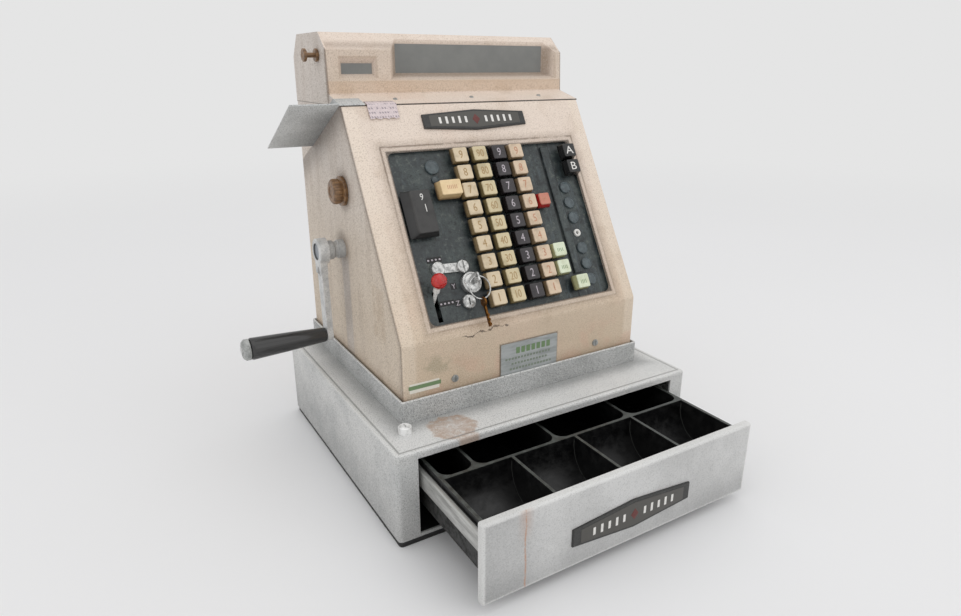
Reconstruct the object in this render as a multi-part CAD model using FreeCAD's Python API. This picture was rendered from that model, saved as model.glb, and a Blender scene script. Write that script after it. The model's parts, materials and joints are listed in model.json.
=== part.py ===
"""Hand-cranked mechanical cash register, built as separate pieces.

Frame: the origin is the centre of the cabinet's footprint, on the surface it stands on.
+X is the operator's right, +Y points away from the operator, +Z is up.  Millimetres.
The drawer is drawn 120 mm open and the crank arm hangs down.
"""
import FreeCAD, Part
import math
import os

from FreeCAD import Placement, Rotation, Vector

os.makedirs("parts", exist_ok=True)

# ---------------------------------------------------------------- driving dimensions
BASE_W = 390.0            # cabinet width
BASE_D = 350.0            # cabinet depth
BASE_TOP = 106.0          # height of the cabinet's top face
PLATE_T = 7.0             # floor plate under the cabinet
CABINET_WALL = 2.5

COLLAR_HALF_W = 162.5     # skirt round the foot of the machine
COLLAR_FRONT = -120.5
COLLAR_BACK = 172.5
COLLAR_TOP = 132.0
COLLAR_WALL = 2.2

CASE_HALF_W = 158.0       # machine case
CASE_FRONT = -116.0
CASE_BACK = 168.0
KINK_Z = 191.5            # where the upright front turns into the slope
SLOPE_TOP_Y = 15.0
CASE_TOP = 420.0
CASE_WALL = 2.0

HEAD_BACK = 170.0         # indicator head
HEAD_TOP = 496.0
HEAD_TOP_BACK = 151.0
HEAD_TOP_FRONT = 75.0
HEAD_FRONT_UPPER = (53.5, 477.0)
HEAD_FRONT_LOWER = (51.0, 431.0)
HEAD_LIP_Z = 421.5
HEAD_WALL = 2.0

OPENING_HALF_W = 171.5    # drawer opening in the cabinet's front
OPENING_BOTTOM = 10.5
OPENING_TOP = 98.5
DRAWER_OPEN = 120.0       # how far out the drawer is drawn
DRAWER_EXTRA = 120.0      # how much further it pulls
DRAWER_FRONT_T = 9.3
DRAWER_FRONT_HALF_W = 170.3
DRAWER_FRONT_BOTTOM = 12.0
DRAWER_FRONT_TOP = 97.2
TRAY_HALF_W = 164.0
TRAY_BOTTOM = 38.0
TRAY_LENGTH = 308.0
RAIL_T = 4.0              # side runner on each side of the tray
RAIL_BOTTOM = 62.0
RAIL_TOP = 82.0
INSERT_TOP = 88.0
CUP_FRONT_LENGTH = 76.0   # front row of coin cups
CUP_SCOOP_R = 36.0        # the cups are nearly half-round from front to back

PANEL_LEFT = -120.0       # keyboard panel, in slope coordinates
PANEL_RIGHT = 125.0
PANEL_LOW = 14.5
PANEL_HIGH = 209.0
PANEL_SINK = 5.0          # how far the panel lies below the slope
PANEL_T = 2.0
PANEL_R = 8.0

KEY_COLUMNS = (-35.5, -10.3, 15.2, 39.0)
KEY_TOP_ROW = 198.0
KEY_PITCH = 20.9
KEY_ROWS = 9
KEY_FACE = (17.4, 16.6)
KEY_BASE = (21.0, 18.8)
KEY_LOW = 1.0             # underside of a key above the slope
KEY_HIGH = 9.0            # face of a key above the slope
STEM = (7.0, 3.0)
STEM_DEPTH = 24.0
STEM_PLAY = 0.3

CRANK_Y = 40.0
CRANK_Z = 261.0
CRANK_SHAFT_R = 7.0
CRANK_ARM_X = -188.0      # outer face of the arm
CRANK_ARM_T = 7.0
CRANK_THROW = 100.0
CRANK_LEAN = 3.0          # degrees that the hanging arm leans forward
GRIP_LENGTH = 94.0
PIVOT_PLAY = 0.06
LEVER_PLAY = 0.3          # clearance of the lever trunnion in its ears

GEAR_MODULE = 2.5
PINION_TEETH = 20
GEAR_TEETH = 40
GEAR_BACKLASH = 0.5       # extra centre distance
GEAR_ANGLE = -43.0        # direction from the crank shaft to the cam gear

PLATEN_Y = 25.0
PLATEN_Z = 330.0
SPOOL_Y = 79.0
SPOOL_Z = 472.0
DRUM_Y = 96.0
DRUM_Z = 464.0
DRUM_R = 22.0

LARGE_WINDOW = (-83.0, 152.0, 445.5)     # left, right and lower edge of the recess
LARGE_GLASS = (-69.4, 138.4, 453.0, 485.0)
LARGE_GLASS_Y = 69.0
SMALL_WINDOW = (-145.0, -97.0, 447.0, 473.7)
SMALL_GLASS = (-139.2, -102.8, 452.3, 463.6)
SMALL_GLASS_Y = 58.5
REAR_WINDOW = (-145.0, 145.0, 442.0, 469.0)

LOCK_X = -166.0           # drawer lock on the cabinet's top
LOCK_Y = -134.0


# ---------------------------------------------------------------- helpers
def save(name, shape):
    """Write one node's solids."""
    if shape.isNull() or not shape.isValid():
        raise ValueError("bad shape: " + name)
    shape.exportStep("parts/" + name + ".step")
    print(f"{name:24s} solids {len(shape.Solids):3d}  volume {shape.Volume / 1000:9.2f} cm3")


def box(x0, x1, y0, y1, z0, z1):
    """A block between two corners."""
    return Part.makeBox(x1 - x0, y1 - y0, z1 - z0, Vector(x0, y0, z0))


def rod_x(x0, x1, y, z, r):
    """A round bar along X."""
    return Part.makeCylinder(r, x1 - x0, Vector(x0, y, z), Vector(1, 0, 0))


def rod_y(x, y0, y1, z, r):
    """A round bar along Y."""
    return Part.makeCylinder(r, y1 - y0, Vector(x, y0, z), Vector(0, 1, 0))


def rod_z(x, y, z0, z1, r):
    """A round bar along Z."""
    return Part.makeCylinder(r, z1 - z0, Vector(x, y, z0), Vector(0, 0, 1))


def prism_x(points, x0, x1):
    """A (y, z) outline drawn out along X."""
    corners = [Vector(x0, y, z) for y, z in points]
    wire = Part.makePolygon(corners + [corners[0]])
    return Part.Face(wire).extrude(Vector(x1 - x0, 0, 0))


def prism_z(points, z0, z1):
    """An (x, y) outline drawn out along Z."""
    corners = [Vector(x, y, z0) for x, y in points]
    wire = Part.makePolygon(corners + [corners[0]])
    return Part.Face(wire).extrude(Vector(0, 0, z1 - z0))


def edges_along(shape, direction, test=None):
    """Straight edges that run along a direction, and pass a test of their middle point."""
    found = []
    for edge in shape.Edges:
        if len(edge.Vertexes) != 2:
            continue
        run = edge.Vertexes[1].Point - edge.Vertexes[0].Point
        if run.Length < 1e-6 or abs(abs(run.normalize().dot(direction)) - 1.0) > 1e-4:
            continue
        if test is None or test(edge.CenterOfMass):
            found.append(edge)
    return found


def rounded_block(x0, x1, y0, y1, z0, z1, r, axis):
    """A block whose edges along one axis are rounded."""
    block = box(x0, x1, y0, y1, z0, z1)
    return block.makeFillet(r, edges_along(block, axis))


def group(shapes):
    """Separate solids in one node."""
    return Part.makeCompound(shapes)


def mirrored_x(shape):
    """The same shape on the other side of the middle plane."""
    return shape.mirror(Vector(0, 0, 0), Vector(1, 0, 0))


def loft_rectangles(lower, upper, low, high):
    """A block that tapers from one (u0, u1, v0, v1) rectangle to another, along w."""
    wires = []
    for (u0, u1, v0, v1), w in ((lower, low), (upper, high)):
        corners = [Vector(u0, v0, w), Vector(u1, v0, w), Vector(u1, v1, w), Vector(u0, v1, w)]
        wires.append(Part.makePolygon(corners + [corners[0]]))
    return Part.makeLoft(wires, True, True)


# Slope coordinates: u is X, v climbs the slope from the kink, w stands off the slope.
SLOPE_RUN = SLOPE_TOP_Y - CASE_FRONT
SLOPE_RISE = CASE_TOP - KINK_Z
SLOPE_LENGTH = math.hypot(SLOPE_RUN, SLOPE_RISE)
SLOPE_TILT = math.degrees(math.atan2(SLOPE_RISE, SLOPE_RUN))
SLOPE = Placement(Vector(0, CASE_FRONT, KINK_Z), Rotation(Vector(1, 0, 0), SLOPE_TILT))


def on_slope(shape):
    """Carry a shape modelled in slope coordinates to its place."""
    placed = shape.copy()
    placed.Placement = SLOPE.multiply(placed.Placement)
    return placed


# ---------------------------------------------------------------- cabinet
def cabinet_shell():
    """Sheet-metal cabinet with the drawer opening in front and a hatch under the machine."""
    half_w = BASE_W / 2
    half_d = BASE_D / 2
    body = box(-half_w, half_w, -half_d, half_d, PLATE_T, BASE_TOP)
    body = body.makeFillet(5.0, edges_along(body, Vector(0, 0, 1)))
    top_edges = [e for e in body.Edges if e.BoundBox.ZMin > BASE_TOP - 0.01]
    body = body.makeFillet(3.0, top_edges)
    t = CABINET_WALL
    hollow = rounded_block(-half_w + t, half_w - t, -half_d + t, half_d - t,
                           PLATE_T - 1, BASE_TOP - t, 3.0, Vector(0, 0, 1))
    body = body.cut(hollow)
    mouth = box(-OPENING_HALF_W, OPENING_HALF_W, -half_d - 1, -half_d + t + 1,
                OPENING_BOTTOM, OPENING_TOP)
    hatch = box(-130, 130, -70, 112, BASE_TOP - t - 1, BASE_TOP + 1)
    lock_hole = rod_z(LOCK_X, LOCK_Y, BASE_TOP - t - 1, BASE_TOP + 1, 7.0)
    return body.cut(mouth).cut(hatch).cut(lock_hole)


def base_plate():
    """Flat floor plate that the register stands on."""
    half_w = BASE_W / 2 - 1.5
    half_d = BASE_D / 2 - 1.5
    return rounded_block(-half_w, half_w, -half_d, half_d, 0, PLATE_T, 4.0, Vector(0, 0, 1))


def machine_collar():
    """Skirt that frames the foot of the machine case."""
    outer = box(-COLLAR_HALF_W, COLLAR_HALF_W, COLLAR_FRONT, COLLAR_BACK, BASE_TOP, COLLAR_TOP)
    outer = outer.makeFillet(3.0, edges_along(outer, Vector(0, 0, 1)))
    rim = [e for e in outer.Edges if e.BoundBox.ZMin > COLLAR_TOP - 0.01]
    outer = outer.makeFillet(0.9, rim)
    w = COLLAR_WALL
    inner = box(-COLLAR_HALF_W + w, COLLAR_HALF_W - w, COLLAR_FRONT + w, COLLAR_BACK - w,
                BASE_TOP - 1, COLLAR_TOP + 1)
    return outer.cut(inner)


def drawer_lock_housing():
    """Ring that the drawer lock's plug turns in."""
    ring = rod_z(LOCK_X, LOCK_Y, 92.0, 113.5, 7.0)
    ring = ring.makeChamfer(0.8, [e for e in ring.Edges if e.BoundBox.ZMin > 113.4])
    return ring.cut(rod_z(LOCK_X, LOCK_Y, 91.0, 115.0, 5.0))


def drawer_lock_plug():
    """Turning plug with a key slot above and a cam below."""
    plug = rod_z(LOCK_X, LOCK_Y, 91.6, 114.2, 5.0 - PIVOT_PLAY)
    slot = box(LOCK_X - 0.9, LOCK_X + 0.9, LOCK_Y - 3.4, LOCK_Y + 3.4, 109.0, 115.0)
    cam = box(LOCK_X - 4, LOCK_X + 29, LOCK_Y - 4, LOCK_Y + 4, 89.2, 91.6)
    return plug.cut(slot).fuse(cam).removeSplitter()


def slide_channels():
    """Pair of C channels that guide the drawer, with their wall brackets."""
    inner = TRAY_HALF_W + RAIL_T
    y0 = -BASE_D / 2 + DRAWER_FRONT_T + 1.7
    y1 = BASE_D / 2 - 4.0
    web = box(inner + 1.0, inner + 3.0, y0, y1, RAIL_BOTTOM - 2.0, RAIL_TOP + 2.0)
    lower = box(inner - 3.4, inner + 1.0, y0, y1, RAIL_BOTTOM - 2.0, RAIL_BOTTOM - 0.5)
    upper = box(inner - 3.4, inner + 1.0, y0, y1, RAIL_TOP + 0.5, RAIL_TOP + 2.0)
    channel = web.fuse(lower).fuse(upper)
    wall = BASE_W / 2 - CABINET_WALL
    for y in (-150, -8, 134):
        channel = channel.fuse(box(inner + 3.0, wall, y, y + 16, 66, 78))
    channel = channel.removeSplitter()
    return group([channel, mirrored_x(channel)])


def ejector_spring():
    """Short compression spring on the rear wall, that pushes the drawer out."""
    pitch = 5.0
    length = 21.0
    radius = 7.0
    coil = Part.makeHelix(pitch, length, radius)
    section = Part.Wire(Part.makeCircle(1.0, Vector(radius, 0, 0), Vector(0, 1, 0)))
    spring = Part.Wire(coil.Edges).makePipeShell([section], True, False)
    cup = Part.makeCylinder(9.5, 3.0, Vector(0, 0, -4.2))
    spring = spring.fuse(Part.makeCylinder(5.6, 4.0, Vector(0, 0, -1.2)).fuse(cup))
    spring.rotate(Vector(0, 0, 0), Vector(1, 0, 0), 90)
    spring.translate(Vector(60, BASE_D / 2 - CABINET_WALL - 4.2, 60))
    return spring


# ---------------------------------------------------------------- drawer
DRAWER_FACE_Y = -BASE_D / 2 - DRAWER_OPEN
DRAWER_BACK_Y = DRAWER_FACE_Y + DRAWER_FRONT_T + TRAY_LENGTH


def drawer_front():
    """Front panel with soft edges."""
    panel = box(-DRAWER_FRONT_HALF_W, DRAWER_FRONT_HALF_W, DRAWER_FACE_Y,
                DRAWER_FACE_Y + DRAWER_FRONT_T, DRAWER_FRONT_BOTTOM, DRAWER_FRONT_TOP)
    return panel.makeFillet(2.4, panel.Edges)


def drawer_tray():
    """Folded steel tray, open above, with the strike for the latch at its back."""
    t = 1.4
    y0 = DRAWER_FACE_Y + DRAWER_FRONT_T
    tray = box(-TRAY_HALF_W, TRAY_HALF_W, y0, DRAWER_BACK_Y, TRAY_BOTTOM, RAIL_TOP)
    hollow = box(-TRAY_HALF_W + t, TRAY_HALF_W - t, y0 + t, DRAWER_BACK_Y - t,
                 TRAY_BOTTOM + t, RAIL_TOP + 1)
    shelf = box(-11, 11, DRAWER_BACK_Y, DRAWER_BACK_Y + 14, 66, 68)
    hook = box(-11, 11, DRAWER_BACK_Y + 12, DRAWER_BACK_Y + 14, 68, RAIL_TOP + 4)
    return tray.cut(hollow).fuse(shelf).fuse(hook).removeSplitter()


def drawer_side_rails():
    """Runner strip on each side of the tray, with a rolled upper edge."""
    y0 = DRAWER_FACE_Y + DRAWER_FRONT_T
    rail = box(TRAY_HALF_W, TRAY_HALF_W + RAIL_T, y0, DRAWER_BACK_Y - 2, RAIL_BOTTOM, RAIL_TOP)
    outer = edges_along(rail, Vector(0, 1, 0), lambda p: p.x > TRAY_HALF_W + 1)
    rail = rail.makeFillet(1.4, outer)
    groove = rod_y(TRAY_HALF_W + RAIL_T + 0.7, y0 - 1, DRAWER_BACK_Y, RAIL_TOP - 4.0, 1.2)
    rail = rail.cut(groove)
    return group([rail, mirrored_x(rail)])


def till_insert():
    """Moulded insert: a front row of scooped coin cups and a back row of deep bays."""
    t = 1.4
    x1 = TRAY_HALF_W - t - 0.3
    y0 = DRAWER_FACE_Y + DRAWER_FRONT_T + t + 0.3
    y1 = DRAWER_BACK_Y - t - 0.3
    floor = TRAY_BOTTOM + t
    body = rounded_block(-x1, x1, y0, y1, floor, INSERT_TOP, 3.0, Vector(0, 0, 1))
    front = y0 + 3.0
    back = front + CUP_FRONT_LENGTH
    low = floor + 4.0
    pitch = (2 * x1 - 4.0) / 4
    for n in range(4):
        left = -x1 + 2.0 + n * pitch + 1.6
        right = left + pitch - 3.2
        cup = box(left, right, front, back, low, INSERT_TOP + 1)
        cup = cup.makeFillet(CUP_SCOOP_R, edges_along(
            cup, Vector(1, 0, 0), lambda p: p.z < low + 0.1))
        body = body.cut(cup)
    walls = (-x1 + 2.0, -120.0, -20.0, 80.0, x1 - 2.0)
    for left, right in zip(walls[:-1], walls[1:]):
        bay = box(left + 1.6, right - 1.6, back + 3.6, y1 - 3.0, low, INSERT_TOP + 1)
        bay = bay.makeFillet(12.0, edges_along(bay, Vector(0, 0, 1)))
        body = body.cut(bay)
    return body


def hexagon_plate(half_length, half_end, half_middle, thickness):
    """Long six-sided badge, tallest in its middle, drawn in its own (x, y) plane."""
    outline = [(-half_length, -half_end), (0, -half_middle), (half_length, -half_end),
               (half_length, half_end), (0, half_middle), (-half_length, half_end)]
    plate = prism_z(outline, 0, thickness)
    rim = [e for e in plate.Edges if e.BoundBox.ZMin > thickness - 0.01]
    return plate.makeChamfer(0.8, rim)


def drawer_badge():
    """Plain six-sided badge on the drawer's front."""
    badge = hexagon_plate(76.0, 9.5, 16.0, 2.6)
    badge.rotate(Vector(0, 0, 0), Vector(1, 0, 0), 90)
    badge.translate(Vector(3.0, DRAWER_FACE_Y, 46.0))
    return badge


# ---------------------------------------------------------------- drawer latch
LATCH_Y = 120.0
LATCH_Z = 98.0


def drawer_latch():
    """Lever that drops its hook behind the drawer's strike; its pin turns in two ears."""
    arm = box(-4, 4, LATCH_Y - 8, LATCH_Y + 30, LATCH_Z - 3.5, LATCH_Z + 3.5)
    hook = box(-4, 4, LATCH_Y + 25, LATCH_Y + 30, 88.6, LATCH_Z)
    pin = rod_x(-11, 11, LATCH_Y, LATCH_Z, 2.0)
    return arm.fuse(hook).fuse(pin).removeSplitter()


def latch_bracket():
    """Two ears under the cabinet's top that carry the latch pin."""
    ear = box(6, 9, LATCH_Y - 5, LATCH_Y + 5, LATCH_Z - 4, BASE_TOP - CABINET_WALL)
    ear = ear.cut(rod_x(5, 10, LATCH_Y, LATCH_Z, 2.0 + PIVOT_PLAY))
    return group([ear, mirrored_x(ear)])


# ---------------------------------------------------------------- machine case
def case_outline(inset):
    """Side view of the case as (y, z), moved inwards by a wall thickness."""
    front = CASE_FRONT + inset
    top = CASE_TOP - inset
    kink = KINK_Z - inset * (SLOPE_LENGTH - SLOPE_RISE) / SLOPE_RUN
    lean = inset * SLOPE_LENGTH / SLOPE_RISE
    top_y = CASE_FRONT + lean + (top - KINK_Z) * SLOPE_RUN / SLOPE_RISE
    return [(front, BASE_TOP), (front, kink), (top_y, top), (CASE_BACK, top), (CASE_BACK, BASE_TOP)]


def is_kink(point):
    """Whether an edge's middle lies near the fold between front and slope."""
    return abs(point.z - KINK_Z) < 3 and point.y < CASE_FRONT + 4


def panel_opening(low, high):
    """Rounded opening for the keyboard panel, in slope coordinates."""
    opening = box(PANEL_LEFT, PANEL_RIGHT, PANEL_LOW, PANEL_HIGH, low, high)
    return opening.makeFillet(PANEL_R, edges_along(opening, Vector(0, 0, 1)))


def case_shell():
    """Folded front, sides and top of the machine, open behind and below."""
    outer = prism_x(case_outline(0.0), -CASE_HALF_W, CASE_HALF_W)
    outer = outer.makeFillet(9.0, edges_along(outer, Vector(1, 0, 0), is_kink))
    sides = [e for e in outer.Edges
             if abs(abs(e.CenterOfMass.x) - CASE_HALF_W) < 0.01 and e.CenterOfMass.y < CASE_BACK - 1
             and e.BoundBox.ZMax > BASE_TOP + 1 and e.BoundBox.ZMin < CASE_TOP - 1]
    outer = outer.makeFillet(2.6, sides)
    inner = prism_x(case_outline(CASE_WALL), -CASE_HALF_W + CASE_WALL, CASE_HALF_W - CASE_WALL)
    inner = inner.makeFillet(7.0, edges_along(inner, Vector(1, 0, 0), is_kink))
    shell = outer.cut(inner)
    shell = shell.cut(on_slope(panel_opening(-8, 4)))
    shell = shell.cut(box(-145, 145, 60, 152, CASE_TOP - 5, CASE_TOP + 5))
    left_wall = (-CASE_HALF_W - 1, -CASE_HALF_W + CASE_WALL + 1)
    shell = shell.cut(rod_x(*left_wall, CRANK_Y, CRANK_Z, BEARING_R))
    return shell.cut(rod_x(*left_wall, PLATEN_Y, PLATEN_Z, 3.0 + PIVOT_PLAY))


def rear_cover():
    """Flat back panel between the case's sides."""
    inner = CASE_HALF_W - CASE_WALL
    return box(-inner, inner, CASE_BACK - 2.0, CASE_BACK, BASE_TOP, CASE_TOP - CASE_WALL)


def screw_head(x, y, z, direction, r):
    """Domed slotted screw head that stands off a surface."""
    head = Part.makeCylinder(r, r * 0.5, Vector(0, 0, 0))
    head = head.makeFillet(r * 0.35, [e for e in head.Edges if e.BoundBox.ZMin > r * 0.49])
    head = head.cut(box(-r * 0.12, r * 0.12, -r, r, r * 0.28, r))
    head.Placement = Placement(Vector(x, y, z), Rotation(Vector(0, 0, 1), direction))
    return head


def case_screws():
    """Screws on the front, the head's lip and the rear cover."""
    lip_run = HEAD_FRONT_LOWER[0] - LIP_FRONT
    lip_rise = HEAD_FRONT_LOWER[1] - HEAD_LIP_Z
    lip_normal = Vector(0, -lip_rise, lip_run)
    heads = [screw_head(x, CASE_FRONT, 143.0, Vector(0, -1, 0), 4.2) for x in (-97, 98)]
    lip_y = 31.0
    lip_z = HEAD_LIP_Z + (lip_y - LIP_FRONT) * lip_rise / lip_run
    heads += [screw_head(x, lip_y, lip_z, lip_normal, 2.6) for x in (-88, 11, 109)]
    heads += [screw_head(x, CASE_BACK, z, Vector(0, 1, 0), 4.2) for x in (-142, 142)
              for z in (150, 400)]
    return group(heads)


def info_plate():
    """Thin plate on the upright front."""
    return rounded_block(-38.5, 39.0, CASE_FRONT - 1.2, CASE_FRONT, 129.5, 168.5, 1.5,
                         Vector(0, 1, 0))


def case_badge():
    """Plain six-sided badge above the keyboard."""
    badge = hexagon_plate(68.0, 8.2, 12.5, 3.0)
    badge.translate(Vector(0, 242.0, 0))
    return on_slope(badge)


# ---------------------------------------------------------------- indicator head
LIP_FRONT = 15.5


def head_outline():
    """Side view of the indicator head as (y, z)."""
    return [(HEAD_BACK, CASE_TOP), (HEAD_BACK, 471.0), (HEAD_TOP_BACK, HEAD_TOP),
            (HEAD_TOP_FRONT, HEAD_TOP), HEAD_FRONT_UPPER, HEAD_FRONT_LOWER,
            (LIP_FRONT, HEAD_LIP_Z), (LIP_FRONT, CASE_TOP)]


def head_hollow():
    """Inside of the head, as (y, z), open towards the case."""
    t = HEAD_WALL
    return [(HEAD_BACK - t, CASE_TOP - 1), (HEAD_BACK - t, 470.3), (HEAD_TOP_BACK - 0.9, HEAD_TOP - t),
            (HEAD_TOP_FRONT + 0.9, HEAD_TOP - t), (HEAD_FRONT_UPPER[0] + t, 476.1),
            (HEAD_FRONT_LOWER[0] + t, 429.4), (LIP_FRONT + 3, CASE_TOP), (LIP_FRONT + 3, CASE_TOP - 1)]


def recess_block(left, right, low, high, back):
    """Solid behind a window recess."""
    return box(left - 3, right + 3, 40, back, low - 3, high)


def recess_funnel(opening, glass, front, back):
    """Tapering recess from the head's face to the glass; openings as (x0, x1, z0, z1)."""
    wires = []
    for (x0, x1, z0, z1), y in ((opening, front), (glass, back)):
        corners = [Vector(x0, y, z0), Vector(x1, y, z0), Vector(x1, y, z1), Vector(x0, y, z1)]
        wires.append(Part.makePolygon(corners + [corners[0]]))
    return Part.makeLoft(wires, True, True)


def head_shell():
    """Pressed indicator head with two framed recesses in front and one window behind."""
    outer = prism_x(head_outline(), -CASE_HALF_W, CASE_HALF_W)
    inner = prism_x(head_hollow(), -CASE_HALF_W + HEAD_WALL, CASE_HALF_W - HEAD_WALL)
    left, right, low = LARGE_WINDOW
    large = recess_block(left, right, low, HEAD_TOP - 1, LARGE_GLASS_Y)
    small = recess_block(*SMALL_WINDOW, SMALL_GLASS_Y)
    shell = outer.cut(inner).fuse(outer.common(large)).fuse(outer.common(small))
    flare = LARGE_GLASS_Y - 50.0
    steep = LARGE_GLASS[3] + 3.9 * flare
    shell = shell.cut(recess_funnel((left - 1, right + 1, low - 0.5, steep), LARGE_GLASS,
                                    50.0, LARGE_GLASS_Y + 0.01))
    shell = shell.cut(recess_funnel(SMALL_WINDOW, SMALL_GLASS, 51.5, SMALL_GLASS_Y + 0.01))
    x0, x1, z0, z1 = REAR_WINDOW
    shell = shell.cut(box(x0, x1, HEAD_BACK - 5, HEAD_BACK + 1, z0, z1))
    shell = shell.cut(rod_x(-CASE_HALF_W - 1, -CASE_HALF_W + HEAD_WALL + 1, SPOOL_Y, SPOOL_Z,
                            3.0 + PIVOT_PLAY))
    return shell.removeSplitter()


def window_panes():
    """Three glass panes: amounts, department and the customer's side."""
    x0, x1, z0, z1 = LARGE_GLASS
    large = box(x0 - 2.5, x1 + 2.5, LARGE_GLASS_Y, LARGE_GLASS_Y + 2, z0 - 2.5, z1 + 1.5)
    x0, x1, z0, z1 = SMALL_GLASS
    small = box(x0 - 2, x1 + 2, SMALL_GLASS_Y, SMALL_GLASS_Y + 2, z0 - 2, z1 + 2)
    x0, x1, z0, z1 = REAR_WINDOW
    inside = HEAD_BACK - HEAD_WALL
    rear = box(x0 - 2, x1 + 2, inside - 2, inside, z0 - 2, z1 + 1)
    return group([large, small, rear])


def rear_window_frame():
    """Raised frame round the customer's window."""
    x0, x1, z0, z1 = REAR_WINDOW
    frame = box(x0 - 7, x1 + 7, HEAD_BACK, HEAD_BACK + 8, z0 - 4, z1 + 2)
    rim = [e for e in frame.Edges if e.BoundBox.YMin > HEAD_BACK + 7.9]
    return frame.makeFillet(1.5, rim).cut(box(x0, x1, HEAD_BACK - 1, HEAD_BACK + 9, z0, z1))


def amount_drums():
    """Number drums on one rod: six for the amount and one for the department."""
    spans = [(-66 + 34 * n, -35 + 34 * n) for n in range(6)]
    spans.append((-136, -106))
    drums = []
    for x0, x1 in spans:
        drum = rod_x(x0, x1, DRUM_Y, DRUM_Z, DRUM_R)
        drums.append(drum.cut(rod_x(x0 - 1, x1 + 1, DRUM_Y, DRUM_Z, 5.0 + PIVOT_PLAY)))
    return group(drums)


def spool_knob():
    """Small two-flanged knob on the head's side."""
    face = -CASE_HALF_W - 0.4
    knob = rod_x(face - 3.0, face, SPOOL_Y, SPOOL_Z, 7.0)
    knob = knob.fuse(rod_x(face - 13.0, face - 3.0, SPOOL_Y, SPOOL_Z, 2.6))
    knob = knob.fuse(rod_x(face - 16.4, face - 13.0, SPOOL_Y, SPOOL_Z, 7.0))
    knob = knob.fuse(rod_x(face, face + 10.0, SPOOL_Y, SPOOL_Z, 3.0))
    return knob.removeSplitter()


# ---------------------------------------------------------------- receipt
SHELF_LEFT = -212.0
SHELF_FRONT = (17.0, 423.4)
SHELF_BACK = (122.0, 371.0)


def receipt_shelf():
    """Sloping sheet beside the case, held by a side flange and a tongue on the head's lip."""
    t = 1.3
    (y0, z0), (y1, z1) = SHELF_FRONT, SHELF_BACK
    wall = -CASE_HALF_W
    wing = prism_x([(y0, z0 - t), (y0, z0), (y1, z1), (y1, z1 - t)], SHELF_LEFT, wall - 0.1)
    flange = prism_x([(y0, z0 - 0.4), (34, 427.6), (y1, z1 + 14), (y1, z1 - 0.4)],
                     wall - 1.4, wall)
    slope = (HEAD_FRONT_LOWER[1] - HEAD_LIP_Z) / (HEAD_FRONT_LOWER[0] - LIP_FRONT)
    rise = 0.1 - LIP_FRONT * slope + HEAD_LIP_Z
    low = [(y, rise + slope * y) for y in (14.2, 33.0)]
    high = [(y, z + t) for y, z in reversed(low)]
    tongue = prism_x(low + high, wall - 1.4, -131.0)
    return wing.fuse(flange).fuse(tongue).removeSplitter()


def receipt_paper():
    """End of the printed strip, over the head's lip and down the slope."""
    slope = SLOPE_RUN / SLOPE_LENGTH
    rise = SLOPE_RISE / SLOPE_LENGTH
    tail = (CASE_FRONT + 246.5 * slope - 0.9 * rise, KINK_Z + 246.5 * rise + 0.9 * slope)
    lower = [(24.0, 423.95), (14.4, 421.55), (tail[0], tail[1])]
    upper = [(tail[0] - 0.35, tail[1] + 0.2), (14.15, 421.95), (24.0, 424.35)]
    return prism_x(lower + upper, -129.0, -94.5)


def paper_roll():
    """Roll of receipt paper on its rod."""
    roll = rod_x(-134.0, -92.0, PAPER_Y, PAPER_Z, 23.0)
    return roll.cut(rod_x(-135.0, -91.0, PAPER_Y, PAPER_Z, 5.0 + PIVOT_PLAY))


def platen_knob():
    """Feed knob: a flange against the case and a narrower grip."""
    face = -CASE_HALF_W - 0.4
    knob = rod_x(face - 4.0, face, PLATEN_Y, PLATEN_Z, 16.5)
    knob = knob.fuse(rod_x(face - 14.0, face - 4.0, PLATEN_Y, PLATEN_Z, 14.0)).removeSplitter()
    tip = [e for e in knob.Edges if e.BoundBox.XMax < face - 13.9]
    knob = knob.makeFillet(1.5, tip)
    return knob.cut(rod_x(face - 8.0, face + 1, PLATEN_Y, PLATEN_Z, 3.0))


def platen_roller():
    """Rubber-covered feed roller on the knob's shaft."""
    shaft = rod_x(-CASE_HALF_W - 8.4, -84.0, PLATEN_Y, PLATEN_Z, 3.0)
    return shaft.fuse(rod_x(-132.0, -90.0, PLATEN_Y, PLATEN_Z, 11.0)).removeSplitter()


# ---------------------------------------------------------------- keyboard
def key_places(column):
    """Centres of one column's keys, from the top row down."""
    return [(KEY_COLUMNS[column], KEY_TOP_ROW - KEY_PITCH * row) for row in range(KEY_ROWS)]


def row_v(row):
    """Height up the slope of a key row, counted from 1 at the top."""
    return KEY_TOP_ROW - KEY_PITCH * (row - 1)


# Other keys: name, base and face rectangles (u0, u1, v0, v1), underside, face height
SPECIAL_KEYS = {
    "register_bar": ((-118.4, -84.0, 109.5, 163.0), (-110.5, -86.5, 113.0, 161.0), 1.0, 10.0),
    "total_key": ((-75.0, -46.7, 149.5, 170.0), (-73.0, -47.6, 151.5, 168.5), 1.0, 13.0),
    "red_key": ((50.2, 69.0, row_v(4) - 9, row_v(4) + 9),
                (52.4, 66.8, row_v(4) - 6.6, row_v(4) + 7.4), 1.0, 9.5),
    "green_key_1": ((50.4, 70.4, row_v(7) - 9, row_v(7) + 9),
                    (52.2, 68.6, row_v(7) - 7.8, row_v(7) + 8.2), 1.0, 10.5),
    "green_key_2": ((50.0, 69.6, row_v(8) - 9, row_v(8) + 9),
                    (51.8, 67.8, row_v(8) - 7.8, row_v(8) + 8.2), 1.0, 10.5),
    "green_key_3": ((70.0, 90.8, row_v(9) - 9, row_v(9) + 9),
                    (72.6, 89.0, row_v(9) - 7.8, row_v(9) + 8.2), 1.0, 10.5),
    "letter_key_a": ((104.0, 124.2, 183.0, 202.6), (106.0, 123.0, 184.8, 201.2), 1.0, 11.0),
    "letter_key_b": ((104.0, 124.2, 162.4, 182.0), (106.0, 123.0, 164.2, 180.6), 1.0, 11.0),
}


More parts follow.
